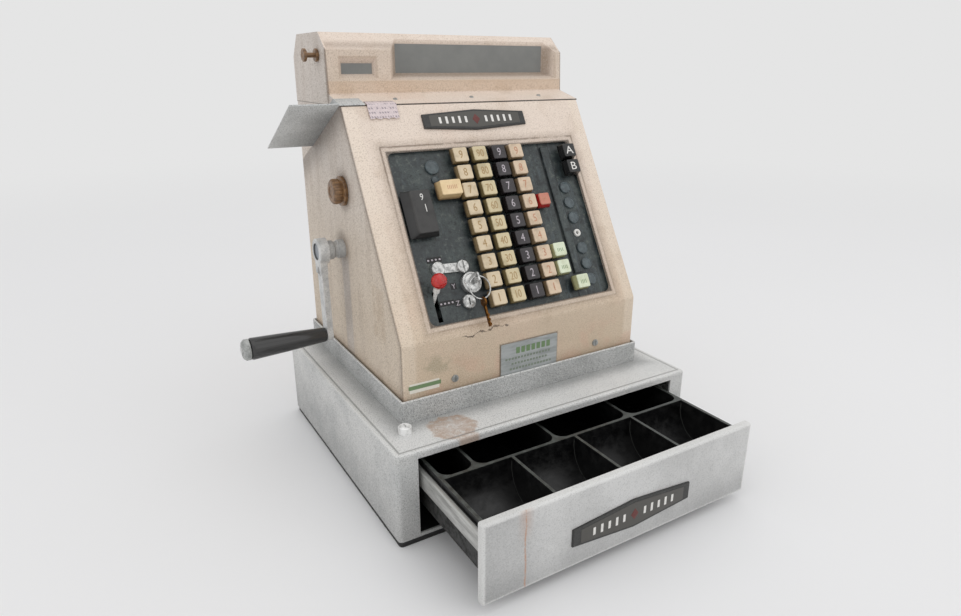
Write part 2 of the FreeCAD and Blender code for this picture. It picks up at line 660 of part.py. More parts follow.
def stem_at(u, v, top):
    """Flat stem under a key."""
    return box(u - STEM[0] / 2, u + STEM[0] / 2, v - STEM[1] / 2, v + STEM[1] / 2,
               -STEM_DEPTH, top)


def digit_key(u, v):
    """One tapered key on its stem."""
    base = (u - KEY_BASE[0] / 2, u + KEY_BASE[0] / 2, v - KEY_BASE[1] / 2, v + KEY_BASE[1] / 2)
    face = (u - KEY_FACE[0] / 2, u + KEY_FACE[0] / 2, v - KEY_FACE[1] / 2, v + KEY_FACE[1] / 2)
    return loft_rectangles(base, face, KEY_LOW, KEY_HIGH).fuse(stem_at(u, v, KEY_LOW + 1))


def digit_keys(column):
    """Nine keys of one decimal column."""
    return on_slope(group([digit_key(u, v) for u, v in key_places(column)]))


def special_stem_centre(base):
    """Middle of a special key's foot."""
    return (base[0] + base[1]) / 2, (base[2] + base[3]) / 2


def special_key(name):
    """A key of its own size."""
    base, face, low, high = SPECIAL_KEYS[name]
    cap = loft_rectangles(base, face, low, high)
    return on_slope(cap.fuse(stem_at(*special_stem_centre(base), low + 1)))


MAIN_LOCK = (-59.5, 54.0)
MAIN_LOCK_R = 12.0
LOWER_LOCK = (-67.5, 34.0)
LOWER_LOCK_R = 8.0
LINK_LEFT = (-94.5, 75.0)
LINK_RIGHT = (-64.8, 73.4)
ESCUTCHEON = (102.5, 92.0)
CAP_U = 103.3
CAP_ROWS = (150.5, 131.0, 111.5, 72.5, 53.0, 33.5)
LEVER_U = -105.0
LEVER_PIVOT = (30.0, -30.0)        # v and w of the mode lever's pivot
LEVER_LENGTH = 53.0
LEVER_LEAN = 33.0                  # degrees up the slope from its normal
BALL_R = 8.5
PIN_R = 2.5


def key_panel():
    """Sunk keyboard tray with a raised rib, slots for the stems and ears for the lever."""
    top = -PANEL_SINK
    under = top - PANEL_T
    margin = 4.0
    block = box(PANEL_LEFT - margin, PANEL_RIGHT + margin, PANEL_LOW - margin,
                PANEL_HIGH + margin, under, -CASE_WALL)
    panel = block.cut(panel_opening(top, 0))
    rib = box(82.0, 93.0, 43.0, 204.0, top, top + 3.2)
    panel = panel.fuse(rib.makeChamfer(0.9, [e for e in rib.Edges if e.BoundBox.ZMin > top + 3]))
    ears = [box(LEVER_U + side, LEVER_U + side + 3, 24, 36, -36, under) for side in (6.0, -9.0)]
    panel = panel.fuse(ears)
    centres = [place for column in range(4) for place in key_places(column)]
    centres += [special_stem_centre(base) for base, _, _, _ in SPECIAL_KEYS.values()]
    half_u = STEM[0] / 2 + STEM_PLAY
    half_v = STEM[1] / 2 + STEM_PLAY
    slots = [box(u - half_u, u + half_u, v - half_v, v + half_v, under - 1, top + 1)
             for u, v in centres]
    slots.append(box(LEVER_U - 2.8, LEVER_U + 2.8, 18.0, 51.0, under - 1, top + 1))
    slots.append(rod_z(*MAIN_LOCK, under - 1, top + 1, 5.0 + PIVOT_PLAY))
    slots.append(rod_z(*LOWER_LOCK, under - 1, top + 1, 4.5 + PIVOT_PLAY))
    slots.append(rod_x(LEVER_U - 10, LEVER_U + 10, *LEVER_PIVOT, PIN_R + LEVER_PLAY))
    return on_slope(panel.cut(group(slots)))


def key_escutcheon():
    """Ring round a small keyhole, in slope coordinates."""
    top = -PANEL_SINK
    ring = rod_z(*ESCUTCHEON, top, top + 3.4, 4.7)
    ring = ring.makeFillet(1.2, [e for e in ring.Edges if e.BoundBox.ZMin > top + 3.3])
    return ring.cut(rod_z(*ESCUTCHEON, top + 0.8, top + 5, 1.9))


def blanking_caps():
    """Round caps that close unused key positions, and the ring round a keyhole."""
    top = -PANEL_SINK
    caps = [(CAP_U, v, 7.4) for v in CAP_ROWS]
    caps += [(-69.0, 190.0, 8.4), (-69.0, 175.2, 4.4)]
    solids = []
    for u, v, r in caps:
        cap = rod_z(u, v, top, top + 3.0, r)
        solids.append(cap.makeFillet(1.6, [e for e in cap.Edges if e.BoundBox.ZMin > top + 2.9]))
    return on_slope(group(solids + [key_escutcheon()]))


def link_plate():
    """Bar with a round boss at each end."""
    top = -PANEL_SINK
    (u0, v0), (u1, v1) = LINK_LEFT, LINK_RIGHT
    run = Vector(u1 - u0, v1 - v0, 0)
    side = Vector(-run.y, run.x, 0).normalize() * 5.0
    bar = prism_z([(u0 + side.x, v0 + side.y), (u0 - side.x, v0 - side.y),
                   (u1 - side.x, v1 - side.y), (u1 + side.x, v1 + side.y)], top, top + 2.5)
    left = rod_z(u0, v0, top, top + 5.5, 7.8)
    right = rod_z(u1, v1, top, top + 6.0, 7.2)
    left = left.makeFillet(1.5, [e for e in left.Edges if e.BoundBox.ZMin > top + 5.4])
    right = right.makeFillet(1.5, [e for e in right.Edges if e.BoundBox.ZMin > top + 5.9])
    slot = box(u1 - 1.1, u1 + 1.1, v1 - 8, v1 + 8, top + 4.4, top + 7)
    return on_slope(bar.fuse(left).fuse(right).cut(slot).removeSplitter())


BOW = (-58.2, 57.5, 12.0)          # hole in the lock key's bow


def main_lock():
    """Domed control lock with its key's bow standing out of it."""
    top = -PANEL_SINK
    disc = rod_z(*MAIN_LOCK, top + 0.2, 2.4, MAIN_LOCK_R)
    disc = disc.makeFillet(3.0, [e for e in disc.Edges if e.BoundBox.ZMin > 2.3])
    barrel = rod_z(*MAIN_LOCK, -22.0, top + 0.2, 5.0)
    u, v, w = BOW
    bow = rounded_block(u - 1.0, u + 1.0, v - 6.5, v + 4.5, 2.0, w + 4.0, 1.5, Vector(1, 0, 0))
    bow = bow.cut(rod_x(u - 2, u + 2, v, w, 2.0))
    return on_slope(disc.fuse(barrel).fuse(bow).removeSplitter())


def lower_lock():
    """Smaller lock disc with a keyhole."""
    top = -PANEL_SINK
    disc = rod_z(*LOWER_LOCK, top + 0.2, -0.4, LOWER_LOCK_R)
    disc = disc.makeFillet(1.8, [e for e in disc.Edges if e.BoundBox.ZMin > -0.5])
    barrel = rod_z(*LOWER_LOCK, -20.0, top + 0.2, 4.5)
    u, v = LOWER_LOCK
    keyhole = box(u - 0.8, u + 0.8, v - 4.0, v + 4.0, -3.4, 1.0)
    return on_slope(disc.fuse(barrel).cut(keyhole).removeSplitter())


RING_R = 12.6
WIRE_R = 0.8


def key_ring():
    """Wire ring that hangs in the bow."""
    u, v, w = BOW
    ring = Part.makeTorus(RING_R, WIRE_R, Vector(u, v - RING_R, w), Vector(0, 0, 1))
    return on_slope(ring)


def ring_key():
    """Spare key that hangs edge-on from the ring."""
    u, v, w = BOW
    low = v - 2 * RING_R
    bow = rod_x(u - 1.0, u + 1.0, low - 3.4, w, 5.4)
    blade = box(u - 1.0, u + 1.0, low - 31.0, low - 7.0, w - 1.8, w + 1.8)
    bits = [box(u - 1.0, u + 1.0, low - 30.0 + 5 * n, low - 27.5 + 5 * n, w + 1.6, w + 3.6)
            for n in range(3)]
    key = bow.fuse([blade] + bits).cut(rod_x(u - 2, u + 2, low, w, 1.5))
    return on_slope(key.removeSplitter())


def lever_point(distance):
    """Point on the mode lever's axis at a distance from its pivot."""
    lean = math.radians(LEVER_LEAN)
    v, w = LEVER_PIVOT
    return Vector(LEVER_U, v + distance * math.sin(lean), w + distance * math.cos(lean))


def mode_lever_stem():
    """Lever rod on a trunnion under the panel."""
    lean = math.radians(LEVER_LEAN)
    along = Vector(0, math.sin(lean), math.cos(lean))
    rod = Part.makeCylinder(2.2, LEVER_LENGTH - 3.0, lever_point(0), along)
    collar = Part.makeCylinder(3.6, 6.0, lever_point(LEVER_LENGTH - 15.5), along)
    hub = rod_x(LEVER_U - 5.5, LEVER_U + 5.5, *LEVER_PIVOT, 5.0)
    pin = rod_x(LEVER_U - 9, LEVER_U + 9, *LEVER_PIVOT, PIN_R)
    return on_slope(rod.fuse([collar, hub, pin]).removeSplitter())


def mode_lever_knob():
    """Ball on the mode lever."""
    lean = math.radians(LEVER_LEAN)
    along = Vector(0, math.sin(lean), math.cos(lean))
    ball = Part.makeSphere(BALL_R, lever_point(LEVER_LENGTH))
    return on_slope(ball.cut(Part.makeCylinder(2.2, LEVER_LENGTH - 3.0, lever_point(0), along)))


# ---------------------------------------------------------------- crank and gears
BEARING_R = 11.0


def lean_crank(shape):
    """Swing a shape from straight down to the arm's resting lean."""
    leaned = shape.copy()
    leaned.rotate(Vector(0, CRANK_Y, CRANK_Z), Vector(1, 0, 0), -CRANK_LEAN)
    return leaned


def crank_bearing():
    """Round boss in the case's side that carries the crank shaft."""
    boss = rod_x(-177.6, -CASE_HALF_W + CASE_WALL, CRANK_Y, CRANK_Z, BEARING_R)
    boss = boss.makeFillet(1.2, [e for e in boss.Edges if e.BoundBox.XMax < -177.5])
    return boss.cut(rod_x(-180, -150, CRANK_Y, CRANK_Z, CRANK_SHAFT_R + PIVOT_PLAY))


def crank_shaft():
    """Main shaft across the machine."""
    return rod_x(CRANK_ARM_X + 2.0, 141.0, CRANK_Y, CRANK_Z, CRANK_SHAFT_R)


def crank_arm():
    """Arm with a deep hub, and the pin that the grip turns on."""
    x0 = CRANK_ARM_X
    end_z = CRANK_Z - CRANK_THROW
    hub = rod_x(x0 - 2.0, x0 + 9.6, CRANK_Y, CRANK_Z, 15.0)
    hub = hub.makeFillet(1.6, [e for e in hub.Edges if e.BoundBox.XMax < x0 - 1.9])
    arm = box(x0, x0 + CRANK_ARM_T, CRANK_Y - 8, CRANK_Y + 8, end_z, CRANK_Z)
    pad = box(x0 - 1.2, x0 + CRANK_ARM_T, CRANK_Y - 9.4, CRANK_Y + 9.4, CRANK_Z - 26, CRANK_Z)
    end = rod_x(x0, x0 + CRANK_ARM_T, CRANK_Y, end_z, 8.0)
    pin = rod_x(x0 - GRIP_LENGTH - 4.0, x0, CRANK_Y, end_z, 4.0)
    shape = hub.fuse([arm, pad, end, pin])
    shape = shape.cut(rod_x(x0 + 2.0, x0 + 20, CRANK_Y, CRANK_Z, CRANK_SHAFT_R))
    shape = shape.cut(rod_x(x0 - 3.0, x0 - 0.4, CRANK_Y, CRANK_Z, 9.5))
    return lean_crank(shape.removeSplitter())


def crank_grip():
    """Tapered grip, thicker at its outer end, that turns on the pin."""
    base = CRANK_ARM_X - 0.8
    tip = CRANK_ARM_X - GRIP_LENGTH + 6.0
    end_z = CRANK_Z - CRANK_THROW
    grip = Part.makeCone(8.6, 12.8, base - tip, Vector(base, CRANK_Y, end_z), Vector(-1, 0, 0))
    grip = grip.makeFillet(1.4, [e for e in grip.Edges if isinstance(e.Curve, Part.Circle)])
    return lean_crank(grip.cut(rod_x(tip - 1, base + 1, CRANK_Y, end_z, 4.0 + PIVOT_PLAY)))


def grip_cap():
    """Metal cap on the pin's end."""
    inner = CRANK_ARM_X - GRIP_LENGTH + 5.4
    end_z = CRANK_Z - CRANK_THROW
    cap = rod_x(inner - 8.0, inner, CRANK_Y, end_z, 12.2)
    cap = cap.makeChamfer(2.6, [e for e in cap.Edges if e.BoundBox.XMax < inner - 7.9])
    return lean_crank(cap.cut(rod_x(CRANK_ARM_X - GRIP_LENGTH - 4.0, inner + 1, CRANK_Y, end_z, 4.0)))


def gear_outline(teeth, phase):
    """Plain straight-sided teeth as (y, z) about the gear's centre."""
    pitch_r = GEAR_MODULE * teeth / 2
    root_r = pitch_r - 1.2 * GEAR_MODULE
    tip_r = pitch_r + 0.9 * GEAR_MODULE
    step = 2 * math.pi / teeth
    points = []
    for n in range(teeth):
        middle = phase + n * step
        for r, share in ((root_r, -0.30), (tip_r, -0.11), (tip_r, 0.11), (root_r, 0.30)):
            angle = middle + share * step
            points.append((r * math.cos(angle), r * math.sin(angle)))
    return points


GEAR_DISTANCE = GEAR_MODULE * (PINION_TEETH + GEAR_TEETH) / 2 + GEAR_BACKLASH
GEAR_Y = CRANK_Y + GEAR_DISTANCE * math.cos(math.radians(GEAR_ANGLE))
GEAR_Z = CRANK_Z + GEAR_DISTANCE * math.sin(math.radians(GEAR_ANGLE))
PAPER_Y = 108.0
PAPER_Z = 370.0
TIE_RODS = ((-84.0, 125.0), (135.0, 125.0), (148.0, 394.0), (32.0, 386.0))


def gear(teeth, phase, y, z, bore):
    """A toothed wheel on an axis along X."""
    outline = [(y + dy, z + dz) for dy, dz in gear_outline(teeth, phase)]
    wheel = prism_x(outline, -153.0, -146.0)
    return wheel.cut(rod_x(-154, -145, y, z, bore))


def crank_pinion():
    """Pinion on the crank shaft, with a tooth pointing at the cam gear."""
    return gear(PINION_TEETH, math.radians(GEAR_ANGLE), CRANK_Y, CRANK_Z, CRANK_SHAFT_R)


def cam_gear():
    """Driven gear, with a gap that takes the pinion's tooth, and its cam."""
    phase = math.radians(GEAR_ANGLE) + math.pi + math.pi / GEAR_TEETH
    wheel = gear(GEAR_TEETH, phase, GEAR_Y, GEAR_Z, 5.0 + PIVOT_PLAY)
    cam = rod_x(-146.0, -142.0, GEAR_Y, GEAR_Z + 8.0, 22.0)
    return wheel.fuse(cam.cut(rod_x(-147, -141, GEAR_Y, GEAR_Z, 5.0 + PIVOT_PLAY)))


# ---------------------------------------------------------------- chassis
def chassis_plate(x0):
    """Side plate that carries the shafts."""
    plate = prism_x([(-98, BASE_TOP), (-98, 176), (30, 402), (158, 402), (158, BASE_TOP)],
                    x0, x0 + 3.0)
    holes = [(CRANK_Y, CRANK_Z, CRANK_SHAFT_R + PIVOT_PLAY), (PLATEN_Y, PLATEN_Z, 3.0 + PIVOT_PLAY),
             (GEAR_Y, GEAR_Z, 5.0), (PAPER_Y, PAPER_Z, 5.0)]
    holes += [(y, z, 5.0) for y, z in TIE_RODS]
    return plate.cut(group([rod_x(x0 - 1, x0 + 4, y, z, r) for y, z, r in holes]))


def chassis_plates():
    """Left and right side plates."""
    return group([chassis_plate(-140.0), chassis_plate(137.0)])


def cross_rods():
    """Tie rods, cam gear rod, paper rod and drum rod."""
    rods = [rod_x(-140.0, 140.0, y, z, 5.0) for y, z in TIE_RODS + ((PAPER_Y, PAPER_Z),)]
    rods.append(rod_x(-155.0, 140.0, GEAR_Y, GEAR_Z, 5.0))
    inner = CASE_HALF_W - HEAD_WALL
    rods.append(rod_x(-inner, inner, DRUM_Y, DRUM_Z, 5.0))
    return group(rods)


def bell():
    """Gong on a post, rung by the mechanism when the drawer opens."""
    post = rod_z(92, 92, BASE_TOP, 131.0, 3.0)
    cup = Part.makeSphere(21.0, Vector(92, 92, 112)).cut(Part.makeSphere(19.4, Vector(92, 92, 112)))
    cup = cup.cut(box(60, 125, 60, 125, 80, 116))
    return post.fuse(cup).removeSplitter()


# ---------------------------------------------------------------- write every node
NODES = {
    "base_plate": base_plate, "cabinet_shell": cabinet_shell, "machine_collar": machine_collar,
    "drawer_lock_housing": drawer_lock_housing, "drawer_lock_plug": drawer_lock_plug,
    "slide_channels": slide_channels, "ejector_spring": ejector_spring,
    "latch_bracket": latch_bracket, "drawer_latch": drawer_latch,
    "drawer_front": drawer_front, "drawer_tray": drawer_tray,
    "drawer_side_rails": drawer_side_rails, "till_insert": till_insert,
    "drawer_badge": drawer_badge,
    "case_shell": case_shell, "rear_cover": rear_cover, "case_screws": case_screws,
    "info_plate": info_plate, "case_badge": case_badge,
    "head_shell": head_shell, "window_panes": window_panes,
    "rear_window_frame": rear_window_frame, "amount_drums": amount_drums,
    "spool_knob": spool_knob,
    "receipt_shelf": receipt_shelf, "receipt_paper": receipt_paper, "paper_roll": paper_roll,
    "platen_knob": platen_knob, "platen_roller": platen_roller,
    "key_panel": key_panel, "blanking_caps": blanking_caps,
    "link_plate": link_plate, "main_lock": main_lock, "lower_lock": lower_lock,
    "key_ring": key_ring, "ring_key": ring_key,
    "mode_lever_stem": mode_lever_stem, "mode_lever_knob": mode_lever_knob,
    "crank_bearing": crank_bearing, "crank_shaft": crank_shaft, "crank_arm": crank_arm,
    "crank_grip": crank_grip, "grip_cap": grip_cap,
    "crank_pinion": crank_pinion, "cam_gear": cam_gear,
    "chassis_plates": chassis_plates, "cross_rods": cross_rods, "bell": bell,
}

for node, make in NODES.items():
    save(node, make())
for number in range(len(KEY_COLUMNS)):
    save(f"digit_keys_{number + 1}", digit_keys(number))
for node in SPECIAL_KEYS:
    save(node, special_key(node))
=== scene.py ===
"""Looks of a hand-cranked mechanical cash register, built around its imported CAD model.

Sizes are in millimetres and colours in 8-bit sRGB until the last step, where meshes go to metres
and colours to linear light.  The frame is the model's own: +X right, +Y back, +Z up.
"""

import json
import logging
import math
from dataclasses import dataclass, field
from enum import Enum
from typing import Callable, Iterable, Sequence

import bmesh
import bpy
import numpy as np
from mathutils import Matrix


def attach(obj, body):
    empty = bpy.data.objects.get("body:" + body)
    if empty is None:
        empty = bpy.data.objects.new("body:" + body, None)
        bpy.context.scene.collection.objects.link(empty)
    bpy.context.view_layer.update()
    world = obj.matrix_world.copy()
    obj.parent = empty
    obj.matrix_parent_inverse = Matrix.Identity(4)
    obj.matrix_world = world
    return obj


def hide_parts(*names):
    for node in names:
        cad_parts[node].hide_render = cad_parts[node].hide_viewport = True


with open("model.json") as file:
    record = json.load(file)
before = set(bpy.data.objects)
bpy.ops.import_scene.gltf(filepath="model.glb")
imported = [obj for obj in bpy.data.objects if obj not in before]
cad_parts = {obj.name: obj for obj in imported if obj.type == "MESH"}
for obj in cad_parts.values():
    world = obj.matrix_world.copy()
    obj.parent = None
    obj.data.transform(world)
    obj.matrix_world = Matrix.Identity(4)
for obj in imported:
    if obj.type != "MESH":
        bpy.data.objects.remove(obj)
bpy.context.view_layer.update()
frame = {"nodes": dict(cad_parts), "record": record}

LOG = logging.getLogger("register")
MM = 0.001
MERGED_WITHIN = 0.002          # millimetres between points of a node's copy that become one
FLAT_WITHIN = 0.6              # degrees between faces of a node's copy that become one
EASED_FOLD = 35.0              # degrees past which an edge is eased
SHARP_FOLD = 32.0              # degrees past which an edge is shaded sharp
KEY_SHARP_FOLD = 50.0          # the same on keys, whose dished faces blend into their flanks
PAPER_SHARP_FOLD = 60.0        # the same on the paper, which has no sharp folds
Array = np.ndarray
Colour = tuple[float, float, float]
Rect = tuple[float, float, float, float]


class Body(Enum):
    """The bodies that new pieces ride on."""
    MACHINE = "machine"
    DRAWER = "drawer"
    MODE_LEVER = "mode_lever"
    MAIN_LOCK = "main_lock_body"
    KEY_RING = "key_ring_body"
    PLATEN = "platen"
    SPOOL = "spool_knob_body"
    CRANK = "crank"
    GRIP = "grip"


# ------------------------------------------------------------------ keyboard face
@dataclass(frozen=True)
class Slope:
    """Keyboard face: u runs right, v climbs the slope from the fold, w stands off it."""
    foot_y: float = -116.0
    foot_z: float = 191.5
    top_y: float = 15.0
    top_z: float = 420.0

    @property
    def climb(self) -> Array:
        """Unit vector up the slope."""
        run = np.array([0.0, self.top_y - self.foot_y, self.top_z - self.foot_z])
        return run / np.linalg.norm(run)

    @property
    def normal(self) -> Array:
        """Unit vector away from the slope, towards the operator."""
        return np.cross(np.array([1.0, 0.0, 0.0]), self.climb)

    def place(self, points: Array) -> Array:
        """Carry (u, v, w) points to (x, y, z): foot + u·X + v·climb + w·normal.

        Args:
            points: array whose last axis holds u, v and w.

        Returns:
            The same array in the model's frame.
        """
        u, v, w = points[..., 0:1], points[..., 1:2], points[..., 2:3]
        foot = np.array([0.0, self.foot_y, self.foot_z])
        return foot + u * np.array([1.0, 0.0, 0.0]) + v * self.climb + w * self.normal


SLOPE = Slope()


# ------------------------------------------------------------------ surfaces
@dataclass
class Surface:
    """Points in millimetres and the faces between them."""
    points: Array
    faces: list[tuple[int, ...]]

    def moved(self, place: Callable[[Array], Array]) -> "Surface":
        """The same surface with its points carried by a function."""
        return Surface(place(self.points), self.faces)


def joined(parts: Iterable[Surface]) -> Surface:
    """Put several surfaces into one mesh.

    Args:
        parts: the surfaces.

    Returns:
        One surface with all their points and faces.
    """
    points: list[Array] = []
    faces: list[tuple[int, ...]] = []
    count = 0
    for part in parts:
        points.append(part.points)
        faces += [tuple(index + count for index in face) for face in part.faces]
        count += len(part.points)
    return Surface(np.concatenate(points), faces)


def ring_stack(rings: Array, closed_ends: bool = True) -> Surface:
    """Skin a stack of closed rings: ring i and ring i + 1 are joined by a band of quads.

    Args:
        rings: array (rings, points in a ring, 3), each ring anticlockwise about the stack's way.
        closed_ends: whether the first and the last ring are filled.

    Returns:
        The skin, facing outwards.
    """
    count, around = rings.shape[:2]
    index = np.arange(count * around).reshape(count, around)
    ahead = np.roll(index, -1, axis=1)
    quads = np.stack([index[:-1], ahead[:-1], ahead[1:], index[1:]], axis=-1).reshape(-1, 4)
    faces = [tuple(face) for face in quads.tolist()]
    if closed_ends:
        faces.append(tuple(index[0, ::-1].tolist()))
        faces.append(tuple(index[-1].tolist()))
    return Surface(rings.reshape(-1, 3), faces)


def sheet_grid(points: Array) -> Surface:
    """Skin an open grid of points.

    Args:
        points: array (rows, columns, 3); the face looks along row direction × column direction.

    Returns:
        The one-sided sheet.
    """
    rows, columns = points.shape[:2]
    index = np.arange(rows * columns).reshape(rows, columns)
    quads = np.stack([index[:-1, :-1], index[1:, :-1], index[1:, 1:], index[:-1, 1:]], axis=-1)
    return Surface(points.reshape(-1, 3), [tuple(q) for q in quads.reshape(-1, 4).tolist()])


def rounded_ring(rect: Rect, radius: float, height: float, per_corner: int = 5) -> Array:
    """Rounded rectangle at one height: four quarter arcs about the corners' centres.

    Args:
        rect: left, right, low and high edges.
        radius: corner radius.
        height: w of the ring.
        per_corner: points on each quarter arc.

    Returns:
        Array (4 · per_corner, 3).
    """
    u0, u1, v0, v1 = rect
    r = min(radius, (u1 - u0) / 2 - 1e-3, (v1 - v0) / 2 - 1e-3)
    turn = np.linspace(0.0, math.pi / 2, per_corner)
    start = np.repeat(np.arange(4) * math.pi / 2, per_corner)
    angle = start + np.tile(turn, 4)
    centre_u = np.repeat([u1 - r, u0 + r, u0 + r, u1 - r], per_corner)
    centre_v = np.repeat([v1 - r, v1 - r, v0 + r, v0 + r], per_corner)
    return np.stack([centre_u + r * np.cos(angle), centre_v + r * np.sin(angle),
                     np.full_like(angle, height)], axis=-1)


def grown(rect: Rect, by: float) -> Rect:
    """A rectangle grown on all sides."""
    u0, u1, v0, v1 = rect
    return (u0 - by, u1 + by, v0 - by, v1 + by)


def between(a: Rect, b: Rect, share: float) -> Rect:
    """A rectangle part of the way from one to another."""
    return tuple(p + (q - p) * share for p, q in zip(a, b))


def shrunk(rect: Rect, share: float) -> Rect:
    """A rectangle scaled about its middle."""
    u0, u1, v0, v1 = rect
    u, v = (u0 + u1) / 2, (v0 + v1) / 2
    return (u + (u0 - u) * share, u + (u1 - u) * share, v + (v0 - v) * share, v + (v1 - v) * share)


def block(rect: Rect, low: float, high: float, radius: float = 0.3, ease: float = 0.15) -> Surface:
    """A small block with rounded corners and eased edges, as a stack of rounded rectangles."""
    steps = [(-ease, low), (0.0, low + ease), (0.0, high - ease), (-ease, high)]
    rings = [rounded_ring(grown(rect, by), radius, height, 3) for by, height in steps]
    return ring_stack(np.array(rings))


def frame_about(axis: Array) -> tuple[Array, Array, Array]:
    """Right-handed unit vectors (side, other side, axis) about an axis."""
    along = axis / np.linalg.norm(axis)
    helper = np.array([0.0, 0.0, 1.0]) if abs(along[2]) < 0.9 else np.array([0.0, 1.0, 0.0])
    side = np.cross(helper, along)
    side /= np.linalg.norm(side)
    return side, np.cross(along, side), along


def revolved(profile: Sequence[tuple[float, float]], origin: Array, axis: Array,
             steps: int = 48) -> Surface:
    """Turn a profile about an axis: point = origin + s·axis + r·(cos t · side + sin t · other).

    Args:
        profile: (s, r) pairs from the low end to the high end.
        origin: point on the axis where s is zero.
        axis: direction of the axis.
        steps: points around.

    Returns:
        The closed surface of revolution.
    """
    side, other, along = frame_about(np.asarray(axis, float))
    s, r = np.array(profile, float).T
    t = np.linspace(0.0, 2 * math.pi, steps, endpoint=False)
    round_the_axis = np.cos(t)[:, None] * side + np.sin(t)[:, None] * other
    rings = (np.asarray(origin, float) + s[:, None, None] * along
             + r[:, None, None] * round_the_axis[None])
    return ring_stack(rings)


def torus(centre: Array, axis: Array, large: float, small: float, around: int = 64,
          across: int = 12) -> Surface:
    """A wire ring: a small circle carried round a large one.

    Args:
        centre: middle of the ring.
        axis: normal of its plane.
        large: radius of the ring's centre line.
        small: radius of the wire.
        around: steps round the ring.
        across: steps round the wire.

    Returns:
        The closed ring.
    """
    side, other, along = frame_about(np.asarray(axis, float))
    t = np.linspace(0, 2 * math.pi, around, endpoint=False)[:, None, None]
    p = np.linspace(0, 2 * math.pi, across, endpoint=False)[None, :, None]
    outwards = np.cos(t) * side + np.sin(t) * other
    points = np.asarray(centre, float) + (large + small * np.cos(p)) * outwards
    points = points - small * np.sin(p) * along
    index = np.arange(around * across).reshape(around, across)
    next_t = np.roll(index, -1, axis=0)
    next_p = np.roll(index, -1, axis=1)
    both = np.roll(next_t, -1, axis=1)
    quads = np.stack([index, next_p, both, next_t], axis=-1).reshape(-1, 4)
    return Surface(points.reshape(-1, 3), [tuple(q) for q in quads.tolist()])


def glyphs(text: str, height: float, thickness: float = 0.12) -> Surface:
    """Plain characters as thin solids, centred on (0, 0) with their faces towards +w.

    Args:
        text: the characters.
        height: height of a capital.
        thickness: height of the raised faces.

    Returns:
        The characters' surface.
    """
    curve = bpy.data.curves.new("glyphs", "FONT")
    curve.body = text
    curve.align_x = "CENTER"
    curve.align_y = "CENTER"
    curve.size = 1.0
    curve.resolution_u = 3
    curve.extrude = thickness / height / 2
    holder = bpy.data.objects.new("glyphs", curve)
    mesh = bpy.data.meshes.new_from_object(holder)
    flat = np.zeros(len(mesh.vertices) * 3)
    mesh.vertices.foreach_get("co", flat)
    faces = [tuple(polygon.vertices) for polygon in mesh.polygons]
    bpy.data.objects.remove(holder)
    bpy.data.curves.remove(curve)
    bpy.data.meshes.remove(mesh)
    points = flat.reshape(-1, 3)
    points -= (points.max(axis=0) + points.min(axis=0)) / 2
    size = np.ptp(points[:, 1])
    return Surface(points * (height / size), faces)


# ------------------------------------------------------------------ pieces
def body_of_node(node: str) -> str:
    """Name of the body that a CAD node belongs to."""
    return next(body for body, nodes in frame["record"]["behaviour"]["bodies"].items()
                if node in nodes)


def slot_of_node(node: str) -> str:
    """The record's material slot of a CAD node."""
    return next(part["material_slot"] for part in frame["record"]["subparts"]
                if part["node"] == node)


def finished(name: str, mesh: bpy.types.Mesh, material: bpy.types.Material, body: str, slot: str,
             replaces: Sequence[str] = (), sharp: float = SHARP_FOLD) -> bpy.types.Object:
    """Make a mesh a piece of the model.

    Args:
        name: the piece's name.
        mesh: its mesh, in place and in metres.
        material: its finish.
        body: the body that it rides on.
        slot: the record's slot that it belongs to; not used.
        replaces: CAD nodes that it stands for.
        sharp: edges that fold by more degrees than this stay sharp.

    Returns:
        The object.
    """
    mesh.shade_smooth()
    mesh.set_sharp_from_angle(angle=math.radians(sharp))
    mesh.materials.clear()
    mesh.materials.append(material)
    piece = bpy.data.objects.new(name, mesh)
    bpy.context.scene.collection.objects.link(piece)
    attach(piece, body)
    if replaces:
        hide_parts(*replaces)
    LOG.info("piece %s on %s: %d faces", name, body, len(mesh.polygons))
    return piece


def piece_from(name: str, surface: Surface, material: bpy.types.Material, body: Body | str,
               slot: str, replaces: Sequence[str] = (), sharp: float = SHARP_FOLD) -> bpy.types.Object:
    """Make a piece from a surface in millimetres; the arguments are those of `finished`."""
    mesh = bpy.data.meshes.new(name)
    mesh.from_pydata((surface.points * MM).tolist(), [], surface.faces)
    mesh.validate()
    mesh.update()
    place = body.value if isinstance(body, Body) else body
    return finished(name, mesh, material, place, slot, replaces, sharp)


def eased_copy(node: str, material: bpy.types.Material, width: float) -> bpy.types.Object:
    """Stand a merged copy with eased edges in for a CAD node.

    The copy's doubled points are merged and its flat faces joined, so that the bevel runs along
    the real edges only.

    Args:
        node: the CAD node.
        material: the copy's finish.
        width: width of the eased edges; none when zero.

    Returns:
        The object.
    """
    mesh = frame["nodes"][node].data.copy()
    mesh.name = f"{node}_eased"
    work = bmesh.new()
    work.from_mesh(mesh)
    bmesh.ops.remove_doubles(work, verts=work.verts, dist=MERGED_WITHIN * MM)
    bmesh.ops.dissolve_limit(work, angle_limit=math.radians(FLAT_WITHIN), verts=work.verts,
                             edges=work.edges)
    work.to_mesh(mesh)
    work.free()
    mesh.update()
    piece = finished(mesh.name, mesh, material, body_of_node(node), slot_of_node(node), [node])
    if width > 0:
        bevel = piece.modifiers.new("eased", "BEVEL")
        bevel.width = width * MM
        bevel.segments = 2
        bevel.limit_method = "ANGLE"
        bevel.angle_limit = math.radians(EASED_FOLD)
        bevel.harden_normals = True
        bevel.miter_outer = "MITER_ARC"
    return piece


def dress(node: str, material: bpy.types.Material) -> None:
    """Give a CAD node that stays a better finish."""
    held = frame["nodes"][node]
    if not held.material_slots:
        held.data.materials.append(material)
    for slot in held.material_slots:
        slot.material = material


